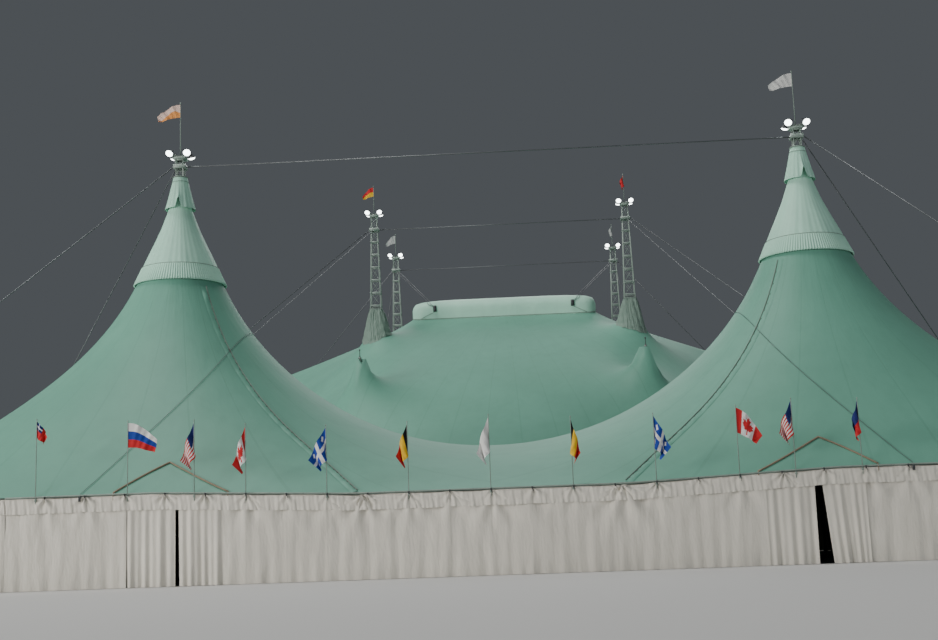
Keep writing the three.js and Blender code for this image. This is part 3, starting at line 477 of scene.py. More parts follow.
HALL_KEYS = [
    0,
    math.atan2(RIDGE_Y, HALL_MAST_X),
    math.atan2(RIDGE_Y, HALL_MAST_X - SEAM_X),
    math.atan2(RIDGE_Y, HALL_MAST_X - LEVEL_X),
    math.pi - math.atan2(RIDGE_Y, HALL_END_X - HALL_MAST_X),
    math.pi,
]
HALL_RAYS = [16, 8, 12, 12, 24]
HALL_SEAM_RAY = sum(HALL_RAYS[:2])
NECK_ROWS = 5
HALL_ROWS = 30


def hall_net():
    """One quarter of the hall's roof: a row of points for each ray that turns round the mast."""
    angles = spread(HALL_KEYS, HALL_RAYS)
    reach = np.array([hall_reach(angle) for angle in angles])[:, None]
    down = np.linspace(0, 1, NECK_ROWS, endpoint=False)
    out = np.linspace(0, 1, HALL_ROWS + 1) ** 1.3
    neck = TOP_RADIUS + (NECK_RADIUS - TOP_RADIUS) * down + 0 * reach
    radius = np.hstack([neck, NECK_RADIUS + (reach - NECK_RADIUS) * out])
    x = HALL_MAST_X - radius * np.cos(angles)[:, None]
    y = -radius * np.sin(angles)[:, None]
    z = np.full(x.shape, EAVE_OUTER)
    z[:, :NECK_ROWS] = TOP_HEIGHT + (NECK_HEIGHT - TOP_HEIGHT) * down
    z[:, NECK_ROWS] = NECK_HEIGHT
    z[HALL_RAYS[0]:, -1] = eave_height(x[HALL_RAYS[0]:, -1])
    fixed = np.zeros(x.shape, bool)
    fixed[:, :NECK_ROWS + 1] = True
    fixed[HALL_RAYS[0]:, -1] = True
    outward = np.clip((x - LOAD_FROM_X) / (LOAD_TO_X - LOAD_FROM_X), 0, 1)
    load = LOAD_MIDDLE + (LOAD_OUTER - LOAD_MIDDLE) * outward
    return x, y, settle(x, y, z, fixed, load)


def cupola_outline(angle, inset):
    """A point of the cupola's rounded plan at an angle, drawn in by an inset."""
    half_width, half_depth = CUPOLA_WIDTH - inset, CUPOLA_DEPTH - inset
    across, forward = math.cos(angle), math.sin(angle)
    flat = min(half_width / max(across, 1e-9), half_depth / max(forward, 1e-9))
    cx, cy = half_width - CUPOLA_CORNER, half_depth - CUPOLA_CORNER
    if flat * across < cx or flat * forward < cy:
        return flat * across, flat * forward
    along = cx * across + cy * forward
    reach = along + math.sqrt(along**2 - cx**2 - cy**2 + CUPOLA_CORNER**2)
    return reach * across, reach * forward


def cupola_base(y):
    return CUPOLA_BASE + CUPOLA_RISE * (1 - min(1, (y / CUPOLA_DEPTH) ** 2))


BIG_KEYS = [
    0,
    math.atan2(BIG_MAST_Y, BIG_MAST_X),
    math.atan2(QUARTER_POLES[0][1], QUARTER_POLES[0][0]),
    math.pi / 2,
]
BIG_RAYS = [30, 15, 25]
BIG_ROWS = 42
BIG_MAST_RAY = BIG_RAYS[0]
CAP_RADIUS = 0.42


def big_net():
    """One quarter of the big top's roof, from the side ray to the front one."""
    angles = spread(BIG_KEYS, BIG_RAYS)
    inner = np.array([cupola_outline(angle, 0) for angle in angles])
    outer = BIG_RADIUS * np.column_stack([np.cos(angles), np.sin(angles)])
    out = np.linspace(0, 1, BIG_ROWS + 1)
    x = inner[:, :1] + (outer[:, :1] - inner[:, :1]) * out
    y = -(inner[:, 1:] + (outer[:, 1:] - inner[:, 1:]) * out)
    z = np.full(x.shape, EAVE_MIDDLE)
    z[:, 0] = [cupola_base(py) for py in inner[:, 1]]
    fixed = np.zeros(x.shape, bool)
    fixed[:, [0, -1]] = True
    caps = [(BIG_MAST_X, BIG_MAST_Y, MAST_ROOF_Z, MAST_ROOF_RADIUS)]
    caps += [(px, py, top, CAP_RADIUS) for px, py, top in QUARTER_POLES]
    for px, py, top, radius in caps:
        near = np.hypot(x - px, y + py) < radius
        z[near] = top
        fixed |= near
    end, _, end_z = QUARTER_POLES[1]
    part = (x[0] - x[0, 0]) / (end - x[0, 0])
    inside = (part > 0) & (x[0] < end - CAP_RADIUS)
    ridge = z[0, 0] + (end_z - z[0, 0]) * part - 4 * RIDGE_SAG * part * (1 - part)
    z[0, inside] = ridge[inside]
    fixed[0, inside] = True
    return x, y, settle(x, y, z, fixed, np.full(x.shape, BIG_LOAD))


def membrane(name, net, quarters, first, last, centre_y, gore):
    """A sheet made of rays first to last of a net, mirrored into some quarters and joined."""
    x, y, z = (values[first:last + 1] for values in net)
    rays, rows = x.shape
    reach = np.hypot(np.diff(x, axis=1), np.diff(y, axis=1))
    rise = np.diff(z, axis=1)
    length = np.hstack([np.zeros((rays, 1)), np.cumsum(np.hypot(reach, rise), axis=1)])
    turn = np.arange(first, last + 1)[:, None] / gore + 0 * x
    points, uv, faces = [], [], []
    for k, (sign_x, sign_y) in enumerate(quarters):
        points.append(np.stack([x * sign_x, centre_y + y * sign_y, z], -1).reshape(-1, 3))
        uv.append(np.stack([turn, length], -1).reshape(-1, 2))
        quads = grid_faces(rays, rows) + k * x.size
        faces.append(quads if sign_x * sign_y < 0 else quads[:, ::-1])
    points, uv, faces = np.vstack(points), np.vstack(uv), np.vstack(faces)
    keys = np.round(points * 1e4).astype(np.int64)
    _, kept, back = np.unique(keys, axis=0, return_index=True, return_inverse=True)
    return add_mesh(name, points[kept], back.reshape(-1)[faces], ROOF, "roof_fabric", uv[kept])


hall = hall_net()
big = big_net()
hall_last = len(hall[0]) - 1
big_last = len(big[0]) - 1

# How many of a net's rays each cut of cloth spans; a weld falls where one cut meets the next.
HALL_GORE = 6
BIG_GORE = 5


def roof(name, net, quarters, rays, replaced):
    """A roof panel from one ray of a net to another, in place of its solids."""
    centre_y, gore = (RIDGE_Y, HALL_GORE) if net is hall else (CENTRE_Y, BIG_GORE)
    piece = membrane(name, net, quarters, *rays, centre_y, gore)
    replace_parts(piece, *replaced)
    return piece


hall_roofs = [roof(
    "hall_roof_middle", hall, [(sx, sy) for sx in (1, -1) for sy in (1, -1)], (0, HALL_SEAM_RAY),
    ("hall_roof_middle_front", "hall_roof_middle_back"),
)]
hall_roofs += [roof(
    f"hall_roof_{side}", hall, [(sign, 1), (sign, -1)], (HALL_SEAM_RAY, hall_last),
    (f"hall_roof_{side}_front", f"hall_roof_{side}_back"),
) for side, sign in SIDES]
big_roofs = [roof(
    f"big_roof_{row}", big, [(1, -sign), (-1, -sign)], (BIG_MAST_RAY, big_last),
    (f"big_roof_{row}",),
) for row, sign in ROWS]
big_roofs += [roof(
    f"big_roof_{side}", big, [(sign, 1), (sign, -1)], (0, BIG_MAST_RAY),
    (f"big_roof_{side}_front", f"big_roof_{side}_rear"),
) for side, sign in SIDES]


def tree_over(roofs):
    """A search tree over several sheets, in the model's place."""
    points, faces = [], []
    for sheet in roofs:
        start = len(points)
        points.extend(vertex.co.copy() for vertex in sheet.data.vertices)
        faces.extend([start + i for i in face.vertices] for face in sheet.data.polygons)
    return BVHTree.FromPolygons(points, faces)


hall_tree = tree_over(hall_roofs)
big_tree = tree_over(big_roofs)


def height_on(tree, x, y):
    """The real height of a roof over a real place in plan."""
    start = Vector(place((x, y, 60)))
    return tree.ray_cast(start, Vector((0, 0, -1)))[0].z / SCALE


# Hoods over the hall's peaks

HOOD_TURNS = 360
FRINGE_PLEATS = 112
PLEAT_DEPTH = 0.021
SKIRT = [
    (0.42, 18.2), (0.5, 17.8), (0.58, 17.4), (0.72, 17.0), (0.9, 16.5), (1.12, 16.0), (1.3, 15.6),
    (1.49, 15.2), (1.65, 14.85), (1.81, 14.48), (1.93, 14.2), (2.05, 13.92), (2.1, 13.76),
]
FRINGE = [
    (1.8, 14.53), (1.82, 14.5), (1.86, 14.4), (1.94, 14.22), (2.01, 14.05), (2.08, 13.9), (2.13, 13.78),
    (2.155, 13.71), (2.14, 13.69), (2.11, 13.7),
]
FLAP = [
    (0.33, 19.1), (0.36, 18.95), (0.41, 18.72), (0.46, 18.5), (0.51, 18.28), (0.56, 18.06), (0.61, 17.85),
    (0.655, 17.66), (0.7, 17.46),
]
NOTCHES = 2
NOTCH_HEIGHT = 0.5
HOOD_BANDS = ((1.815, 14.53, 0.016), (0.35, 19.06, 0.03), (0.4, 18.82, 0.012))


def full_skirt(row, turn, radius, z):
    """The skirt hangs a little full, in long soft folds that grow toward its hem."""
    down = row / (len(SKIRT) - 1)
    folds = math.sin(14 * turn + 0.8 * math.sin(3 * turn)) + 0.6 * math.sin(37 * turn + math.sin(5 * turn))
    return radius + 0.016 * folds * down**1.5, z


def pleated(row, turn, radius, z):
    """The fringe band is gathered into narrow pleats that open toward its hem."""
    down = row / (len(FRINGE) - 1)
    wander = 0.9 * math.sin(5 * turn) + 0.5 * math.sin(11 * turn + 2)
    pleats = math.sin(FRINGE_PLEATS * turn + wander)
    return radius + 0.012 + PLEAT_DEPTH * down**0.6 * pleats, z + 0.012 * down * pleats


def pleat_fullness():
    """How much longer the fringe's cut is than its girth, from the depth and number of its pleats."""
    turns = np.linspace(0, 2 * math.pi, 720, endpoint=False)
    down, turn = np.meshgrid(np.linspace(0, 1, len(FRINGE)), turns)
    radius = sum(ring[0] for ring in FRINGE) / len(FRINGE)
    steep = PLEAT_DEPTH * down**0.6 * FRINGE_PLEATS / radius * np.cos(turn)
    return float(np.sqrt(1 + steep**2).mean())


def notched(row, turn, radius, z):
    """The upper flap has a narrow notch near its front and its back, and kicks out a little at its foot."""
    down = row / (len(FLAP) - 1)
    away = abs(math.sin(NOTCHES * (turn + math.pi / 2 - 0.1) / 2))
    slit = math.exp(-((away / 0.14) ** 2))
    kick = 0.02 * down**3 * (1 - slit)
    ruffle = 0.012 * down * math.sin(19 * turn)
    return radius + kick + ruffle, z + NOTCH_HEIGHT * down**2 * slit


def hood_cloth(name, profile, turns, centre, bend):
    return add_mesh(name, *lathe(profile, turns, centre, bend), HOOD, "hood_fabric")


for side, sign in SIDES:
    centre = (sign * HALL_MAST_X, RIDGE_Y)
    skirt = hood_cloth(f"hall_hood_{side}", SKIRT, HOOD_TURNS, centre, full_skirt)
    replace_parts(skirt, f"hall_hood_{side}")
    turned_area(SKIRT)
    fringe = hood_cloth(f"hall_fringe_{side}", FRINGE, 4 * HOOD_TURNS, centre, pleated)
    fringe_cut = turned_area(FRINGE) * pleat_fullness()
    flap = hood_cloth(f"hall_flap_{side}", FLAP, HOOD_TURNS, centre, notched)
    turned_area(FLAP)
    band = Parts()
    for radius, z, thickness in HOOD_BANDS:
        band.add(*rope(hoop(centre, radius, z, 97), thickness, 6))
    band.object(f"hall_hood_bands_{side}", HEM, "hood_fabric")


# Walls, door curtains and valances


def resample(line, step):
    """A plan line as points at about even steps, with each one's distance and right-hand normal."""
    line = np.asarray(line, float)
    pieces = np.hypot(*np.diff(line, axis=0).T)
    along = np.concatenate([[0], np.cumsum(pieces)])
    stations = np.linspace(0, along[-1], max(2, round(along[-1] / step) + 1))
    x, y = (np.interp(stations, along, line[:, k]) for k in (0, 1))
    tangent = np.column_stack([np.gradient(x), np.gradient(y)])
    tangent /= np.hypot(*tangent.T)[:, None]
    return np.column_stack([x, y]), stations, np.column_stack([tangent[:, 1], -tangent[:, 0]])


def ripple(stations, lengths, seed):
    """A smooth random wave made of a few wavelengths, about -1 to 1."""
    chance = np.random.default_rng(seed)
    total = np.zeros_like(stations)
    for length in lengths:
        phase, drift = chance.uniform(0, 2 * math.pi, 2)
        wander = 0.8 * np.sin(2 * math.pi * stations / (length * 7.3) + drift)
        total += np.sin(2 * math.pi * stations / length + phase + wander)
    return total / len(lengths) ** 0.5


TIE_STEP = 1.5667
SEAM_GATHER_X = 4.95


def tie_creases(marks, below, seed, reach):
    """Folds that fan out from the ties along an eave, each tie with its own, about -1 to 1."""
    chance = np.random.default_rng(seed + 900)
    total = np.zeros_like(marks)
    ties = np.arange(math.ceil(marks.min() / TIE_STEP), math.floor(marks.max() / TIE_STEP) + 1) * TIE_STEP
    for tie in (*ties, -SEAM_GATHER_X, SEAM_GATHER_X):
        phase, count = chance.uniform(0, 2 * math.pi), chance.integers(5, 10)
        strength = chance.uniform(0.4, 1.3)
        strength = 1.8 if abs(tie) == SEAM_GATHER_X else strength
        across = marks - tie - chance.uniform(-0.05, 0.05)
        away = np.hypot(across, below + 0.02)
        folds = np.cos(count * np.arctan2(across, below + 0.02) + phase)
        total += strength * folds * np.minimum(1, away / 0.09) * np.exp(-((away / reach) ** 2))
    return total


def hanging(name, line, low, high, seed, depth=0.035, offset=-0.03, step=0.08, rows=20,
            lengths=(0.55, 1.15, 2.6), taut=0.25, reach=1.25, fan=0.075, sag=0.0):
    """Cloth that hangs along a plan line from high to low, both numbers or functions of the place.
    The line's right-hand side is the outside."""
    plan, stations, normal = resample(line, step)
    top = np.array([high(x) for x in plan[:, 0]]) if callable(high) else np.full(len(plan), high)
    bottom = np.array([low(x) for x in plan[:, 0]]) if callable(low) else np.full(len(plan), low)
    marks = plan[:, 0] if np.ptp(plan[:, 1]) < 0.001 else stations
    wave = ripple(stations, lengths, seed)
    second = ripple(stations, lengths, seed + 500)
    swag = sag * np.abs(np.sin(math.pi * marks / TIE_STEP)) ** 0.8
    points, uv = [], []
    for row in range(rows + 1):
        part = row / rows
        z = top + (bottom - top) * part
        out = offset + depth * (taut + (1 - taut) * part**0.8) * ((1 - part) * second + part * wave)
        out = out + fan * tie_creases(marks, top - z, seed, reach)
        points.append(np.column_stack([plan + normal * out[:, None], z - swag * (1 - 0.6 * part)]))
        uv.append(np.column_stack([marks / TIE_STEP + 0.5, z]))
    faces = grid_faces(rows + 1, len(plan))
    return add_mesh(name, np.vstack(points), faces, WALL, "wall_fabric", np.vstack(uv))


# How far below the eave a wall's top and a valance's top are, and the middle of the bolt rope
WALL_DROP = 0.06
EDGE_DROP = 0.05
ROPE_DROP = 0.02


def wall_top(x):
    return eave_height(x) - WALL_DROP


def eave_edge(x):
    return eave_height(x) - EDGE_DROP


def straight(x0, x1, y=0.0):
    return [(x0, y), (x1, y)]


def arc(centre, radius, start, end, count=60):
    turns = np.radians(np.linspace(start, end, count))
    return np.column_stack([centre[0] + radius * np.cos(turns), centre[1] + radius * np.sin(turns)])


END_LEFT = arc((-HALL_END_X, RIDGE_Y), RIDGE_Y, 90, 270)
END_RIGHT = arc((HALL_END_X, RIDGE_Y), RIDGE_Y, -90, 90)

wall_lines = {
    "hall_wall_front_middle": (straight(-DOOR_INNER_X, DOOR_INNER_X), 0),
    "hall_wall_front_left": (straight(-HALL_END_X, -DOOR_OUTER_X), 0),
    "hall_wall_front_right": (straight(DOOR_OUTER_X, HALL_END_X), 0),
    "door_head_left": (straight(-DOOR_OUTER_X, -DOOR_INNER_X), DOOR_HEIGHT),
    "door_head_right": (straight(DOOR_INNER_X, DOOR_OUTER_X), DOOR_HEIGHT),
    "hall_wall_back_left": (straight(-PASSAGE_HALF - 0.05, -HALL_END_X, HALL_DEPTH), 0),
    "hall_wall_back_right": (straight(HALL_END_X, PASSAGE_HALF + 0.05, HALL_DEPTH), 0),
    "hall_wall_end_left": (END_LEFT, 0),
    "hall_wall_end_right": (END_RIGHT, 0),
}
FOOT_GAP = 0.005
for seed, (name, (line, foot)) in enumerate(wall_lines.items()):
    wall = hanging(name, line, foot + FOOT_GAP, wall_top, seed)
    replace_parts(wall, name)

BIG_WALL_START, BIG_WALL_END = -84.2, 264.2
BIG_WALLS = {
    "big_wall_front_right": (BIG_WALL_START, -30),
    "big_wall_side_right": (-30, 30),
    "big_wall_rear_right": (30, 90),
    "big_wall_rear_left": (90, 150),
    "big_wall_side_left": (150, 210),
    "big_wall_front_left": (210, BIG_WALL_END),
}


def big_line(start, end, count=60):
    """The big top's eave in plan from one turn to another, in degrees."""
    return arc((0, CENTRE_Y), BIG_RADIUS, start, end, count)


for seed, (name, (start, end)) in enumerate(BIG_WALLS.items()):
    line = big_line(start, end)
    wall = hanging(name, line, FOOT_GAP, EAVE_MIDDLE - WALL_DROP, 40 + seed, step=0.12)
    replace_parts(wall, name)

CURTAINS = {
    "door_curtain_left_outer": ((-DOOR_OUTER_X, -12.16), (-DOOR_OUTER_X, -12.15)),
    "door_curtain_left_inner": ((-12.0, -DOOR_INNER_X), (-12.03, -DOOR_INNER_X)),
    "door_curtain_right_inner": ((DOOR_INNER_X, 12.14), (DOOR_INNER_X, 12.16)),
    "door_curtain_right_outer": ((12.69, DOOR_OUTER_X), (12.45, DOOR_OUTER_X)),
}


def door_curtain(name, foot, head, seed):
    """A loose curtain whose foot and head differ in width."""
    columns, rows = 60, 24
    across = np.linspace(0, 1, columns + 1)
    wave = ripple(across * 1.8, (0.3, 0.52, 1.1), seed)
    points, uv = [], []
    for row in range(rows + 1):
        part = row / rows
        left = head[0] + (foot[0] - head[0]) * part
        right = head[1] + (foot[1] - head[1]) * part
        x = left + (right - left) * across
        y = 0.03 + 0.05 * (0.5 + 0.5 * part) * wave
        z = np.full(columns + 1, DOOR_HEIGHT * (1 - part) + 0.006)
        points.append(np.column_stack([x, y, z]))
        uv.append(np.column_stack([across * 0.9, z]))
    faces = grid_faces(rows + 1, columns + 1)
    return add_mesh(name, np.vstack(points), faces, WALL, "wall_fabric", np.vstack(uv))


for seed, (name, (foot, head)) in enumerate(CURTAINS.items()):
    curtain = door_curtain(name, foot, head, 70 + seed)
    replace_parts(curtain, name)

VALANCE = 0.58
VALANCE_BACK_X = 2.6


def valance(name, line, top, seed):
    """A short strip of cloth that hangs outside a wall from the eave, gathered at its ties."""
    piece = hanging(
        name, line, lambda x: top(x) - VALANCE, top, seed, depth=0.02, offset=0.035, step=0.035, rows=12,
        lengths=(0.17, 0.31, 0.7), taut=0.5, reach=0.45, fan=0.06, sag=0.055,
    )


hall_valances = (
    ("front", straight(-HALL_END_X, HALL_END_X), "middle"),
    ("back_left", straight(-VALANCE_BACK_X, -HALL_END_X, HALL_DEPTH), "left"),
    ("back_right", straight(HALL_END_X, VALANCE_BACK_X, HALL_DEPTH), "right"),
    ("end_left", END_LEFT, "left"), ("end_right", END_RIGHT, "right"),
)
for seed, (name, line, panel) in enumerate(hall_valances):
    valance(f"hall_valance_{name}", line, eave_edge, 80 + seed)
for seed, (name, (start, end)) in enumerate(BIG_WALLS.items()):
    valance(
        name.replace("wall", "valance"), big_line(start, end), lambda x: EAVE_MIDDLE - EDGE_DROP,
        90 + seed,
    )


def eave_ropes():
    """The dark bolt rope in each eave's hem."""
    hall_line = [
        *resample(straight(-HALL_END_X, HALL_END_X), 1.0)[0],
        *END_RIGHT[1:],
        *resample(straight(HALL_END_X, -HALL_END_X, HALL_DEPTH), 1.0)[0][1:],
        *END_LEFT[1:],
    ]
    parts = Parts()
    parts.add(*rope([(x, y, eave_height(x) - ROPE_DROP) for x, y in hall_line], 0.035, 6))
    big_eave = big_line(BIG_WALL_START, BIG_WALL_END, 200)
    parts.add(*rope([(x, y, EAVE_MIDDLE - ROPE_DROP) for x, y in big_eave], 0.035, 6))
    parts.object("eave_ropes", HEM, "roof_fabric")
    knots = Parts()
    for k in range(-11, 12):
        x = k * TIE_STEP
        for y, out in ((-0.06, -1), (HALL_DEPTH + 0.06, 1)):
            z = eave_edge(x)
            knot = [(x, y, z + 0.05), (x, y + 0.01 * out, z), (x, y, z - 0.05)]
            tail = [(x + 0.01, y, z), (x + 0.05, y + 0.02 * out, z - 0.12), (x + 0.03, y, z - 0.2)]
            knots.add(*rope(knot, [0.03, 0.045, 0.025], 8))
            knots.add(*rope(tail, 0.01, 5))
    knots.object("eave_knots", DARK, "roof_fabric")


eave_ropes()


def passage():
    """The covered way's two walls and ceiling in one piece of cloth."""
    back = CENTRE_Y - math.sqrt(BIG_RADIUS**2 - PASSAGE_HALF**2)
    outline = [(-PASSAGE_HALF - 0.02, FOOT_GAP), (-PASSAGE_HALF - 0.02, PASSAGE_HEIGHT + 0.04)]
    outline += [(PASSAGE_HALF + 0.02, PASSAGE_HEIGHT + 0.04), (PASSAGE_HALF + 0.02, FOOT_GAP)]
    profile, stations, normal = resample(outline, 0.1)
    wave = ripple(stations, (0.4, 0.9), 120) * 0.015
    profile = profile + normal * wave[:, None]
    depth = np.linspace(HALL_DEPTH - 0.04, back, 7)
    across, up = profile.T
    points = np.vstack([np.column_stack([across, np.full(len(profile), y), up]) for y in depth])
    uv = np.vstack([np.column_stack([stations / 2.4, np.full(len(profile), y)]) for y in depth])
    piece = add_mesh("passage", points, grid_faces(7, len(profile)), WALL, "wall_fabric", uv)
    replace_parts(piece, "passage")


passage()


# Cupola

CUPOLA_PROFILE = [
    (0.0, None), (0.0, 17.3), (0.0, 17.55), (0.0, CUPOLA_SHOULDER), (0.03, 17.95), (0.09, 18.12),
    (0.2, 18.28), (CUPOLA_ROUND, CUPOLA_TOP), (0.8, 18.5), (1.4, 18.64), (2.2, 18.8), (2.9, 18.88),
    (3.4, CUPOLA_CROWN),
]
CUPOLA_ANGLES = 40


def cupola():
    """The long box of cloth at the top of the big roof, with fullness between its frame's hoops."""
    quarter = np.linspace(0, math.pi / 2, CUPOLA_ANGLES, endpoint=False)
    turns = [(sx, sy, a) for sx, sy, flip in ((1, -1, 0), (-1, -1, 1), (-1, 1, 0), (1, 1, 1))
             for a in (math.pi / 2 - quarter if flip else quarter)]
    points, uv = [], []
    for row, (inset, z) in enumerate(CUPOLA_PROFILE):
        for k, (sx, sy, angle) in enumerate(turns):
            x, y = cupola_outline(angle, min(inset, CUPOLA_DEPTH - CUPOLA_CORNER - 0.01))
            if inset > 2.5:
                x, y = x * (CUPOLA_DEPTH - inset) / 1.1, y * (CUPOLA_DEPTH - inset) / 1.1
            height = cupola_base(y) - 0.05 if z is None else z
            full = 0.02 * math.sin(x * math.pi / 1.1) * (1 if 2 < row < 8 else 0.4)
            points.append((sx * x, CENTRE_Y + sy * (y + full * (y > 3)), height))
            uv.append((k / 10, height))
    faces = [tuple(face) for face in grid_faces(len(CUPOLA_PROFILE), len(turns), closed=True)]
    last = len(turns) * (len(CUPOLA_PROFILE) - 1)
    points.append((0, CENTRE_Y, CUPOLA_CROWN))
    uv.append((0, 0))
    faces += [(last + k, last + (k + 1) % len(turns), len(points) - 1) for k in range(len(turns))]
    piece = add_mesh("cupola", points, faces, HOOD, "hood_fabric", uv)
    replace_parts(piece, "cupola")


cupola()


# Trims laid on the roofs

SEAM_BOW = 0.55
LACE_STEP = 0.3
LACE_EDGE = 0.17


def seam_place(part, sign, forward):
    """A place along the lacing seam: part goes from the mast to the eave, with a slight bow."""
    bow = SEAM_BOW * math.sin(math.pi * part**3)
    x = HALL_MAST_X + (SEAM_X - HALL_MAST_X) * part
    y = RIDGE_Y * part - bow
    return sign * x, RIDGE_Y + forward * y


def within_hall(y):
    return min(max(y, 0.01), HALL_DEPTH - 0.01)


def lacing_seam(side, sign, row, forward):
    """A creased overlap of cloth along a seam between two roof panels, laced down with a rope."""
    chance = np.random.default_rng(300 + (sign > 0) + 2 * (forward > 0))
    phase = chance.uniform(0, 2 * math.pi, 4)
    parts = np.linspace(0.155, 0.998, 150)
    middle = np.array([seam_place(part, sign, forward) for part in parts])
    tangent = np.gradient(middle, axis=0)
    tangent /= np.hypot(*tangent.T)[:, None]
    across = np.column_stack([-tangent[:, 1], tangent[:, 0]]) * sign * forward
    along = np.concatenate([[0], np.cumsum(np.hypot(*np.diff(middle, axis=0).T))])
    slope = line_length([(x, y, height_on(hall_tree, x, y)) for x, y in middle])
    points, uv = [], []
    widths = np.linspace(-1, 1, 9)
    for k, (centre, way) in enumerate(zip(middle, across)):
        crumple = math.sin(along[k] * 7 + phase[0]) + 0.6 * math.sin(along[k] * 15 + phase[1])
        for width in widths:
            half = 0.13 + 0.02 * crumple * (width > 0)
            x, y = centre + way * width * half
            y = within_hall(y)
            puff = 0.022 * math.cos(width * math.pi / 2) * (1 + 0.5 * crumple)
            puff *= 1 + 4 * math.exp(-(((parts[k] - 0.175) / 0.01) ** 2))
            points.append((x, y, height_on(hall_tree, x, y) + 0.015 + max(0.0, puff)))
            uv.append((width * 0.13, along[k]))
    strip = add_mesh(
        f"lacing_{row}_{side}", points, grid_faces(len(parts), len(widths)), ROOF, "roof_fabric", uv,
    )
    lace = Parts()
    edge = [centre + way * LACE_EDGE for centre, way in zip(middle, across)]
    line = [(x, y, height_on(hall_tree, x, within_hall(y)) + 0.03) for x, y in edge]
    lace.add(*rope(line[::2], 0.022, 6))
    for start in np.arange(0.3, along[-1] - 0.3, LACE_STEP):
        k = int(np.searchsorted(along, start))
        reach = []
        for width in (LACE_EDGE, 0.12, 0.07):
            x, y = middle[k] + across[k] * width
            reach.append((x, y, height_on(hall_tree, x, y) + (0.03 if width > 0.1 else 0.07)))
        lace.add(*rope(reach, 0.012, 5))
    lace.object(f"lacing_rope_{row}_{side}", HEM, "roof_fabric")


for side, sign in SIDES:
    for row, forward in (("front", -1), ("back", 1)):
        lacing_seam(side, sign, row, forward)


def rain_diverter(side, sign):
    """A raised roll of cloth in a wide peak over a door, that turns the rain to each side."""
    ends = ((14.57, 0.03), (12.7, 1.25), (10.1, 0.03))
    line = []
    for (x0, y0), (x1, y1) in zip(ends, ends[1:]):
        for part in np.linspace(0, 1, 16, endpoint=(x1 == ends[2][0])):
            x, y = sign * (x0 + (x1 - x0) * part), y0 + (y1 - y0) * part
            line.append((x, y, height_on(hall_tree, x, y) + 0.035))
    roll = Parts()
    roll.add(*rope(line, 0.035, 10))
    for x, y, z in (line[0], line[-1]):
        roll.add(*rope([(x, y, z), (x, y - 0.05, z - 0.12), (x, y - 0.06, z - 0.3)], [0.03, 0.022, 0.01], 8))
    roll.object(f"rain_diverter_{side}", TRIM, "roof_fabric")


for side, sign in SIDES:
    rain_diverter(side, sign)


def cupola_trims():
    """The dark laced joint where the cupola's cloth meets the big roof, and its end pieces' seams."""
    joint = Parts()
    line = []
    for turn in np.linspace(0, 2 * math.pi, 161):
        across, forward = math.cos(turn), math.sin(turn)
        x, y = cupola_outline(math.atan2(abs(forward), abs(across)), -0.02)
        x, y = math.copysign(x, across), math.copysign(y, forward)
        line.append((x, CENTRE_Y + y, cupola_base(abs(y)) + 0.06))
    joint.add(*rope(line, 0.022, 6))
    ends = ((FITTING_X + 0.05, FITTING_Z - 0.25), (5.6, 17.3), (6.0, 17.1))
    for sx, sy in ((-1, -1), (-1, 1), (1, -1), (1, 1)):
        face = CENTRE_Y + sy * (CUPOLA_DEPTH + 0.012)
        joint.add(*rope([(sx * x, face, z) for x, z in ends], 0.016, 6))
    joint.object("cupola_joint", HEM, "hood_fabric")


cupola_trims()


# Masts


def mast_half(z, big_mast):
    if not big_mast:
        return HALL_MAST_HALF
    part = max(0, (z - BIG_TAPER_Z) / (BIG_MAST_TOP - BIG_TAPER_Z))
    return BIG_MAST_HALF + (BIG_MAST_TOP_HALF - BIG_MAST_HALF) * part


PANEL = 0.93
CHORD_RADIUS = 0.032
BRACE_RADIUS = 0.008
RUNG_HEIGHT = 0.085


def lattice(parts, x, y, top, big_mast):
    """Four chords with flat rungs and crossed braces on each face, and a joint at every fourth rung."""

    def corner(k, z):
        half = mast_half(z, big_mast)
        return (x + CORNERS[k % 4][0] * half, y + CORNERS[k % 4][1] * half, z)

    stops = [0, BIG_TAPER_Z, top] if big_mast else [0, top]
    for k in range(4):
        parts.add(*rope([corner(k, z) for z in stops], CHORD_RADIUS, 10))
    levels = np.linspace(0.12, top - 0.05, round(top / PANEL) + 1)
    for index, (low, high) in enumerate(zip(levels, levels[1:])):
        half = mast_half(high, big_mast)
        square_band(parts, (x, y, high), half, (2 * half, 2 * half), 0.03, RUNG_HEIGHT, 0.004)
        for k in range(4):
            parts.add(*rope([corner(k, low), corner(k + 1, high)], BRACE_RADIUS, 5))
            parts.add(*rope([corner(k + 1, low), corner(k, high)], BRACE_RADIUS, 5))
            if index % 4 == 3:
                parts.add(*block(corner(k, high), (0.13, 0.13, 0.05), 0.03))
    parts.add(*block((x, y, 0.04), (1.2, 1.2, 0.08), 0.08))
    for sx, sy in CORNERS:
        parts.add(*lathe([(0.0, 0.14), (0.045, 0.14), (0.045, 0.08)], 8, (x + sx * 0.5, y + sy * 0.5)))


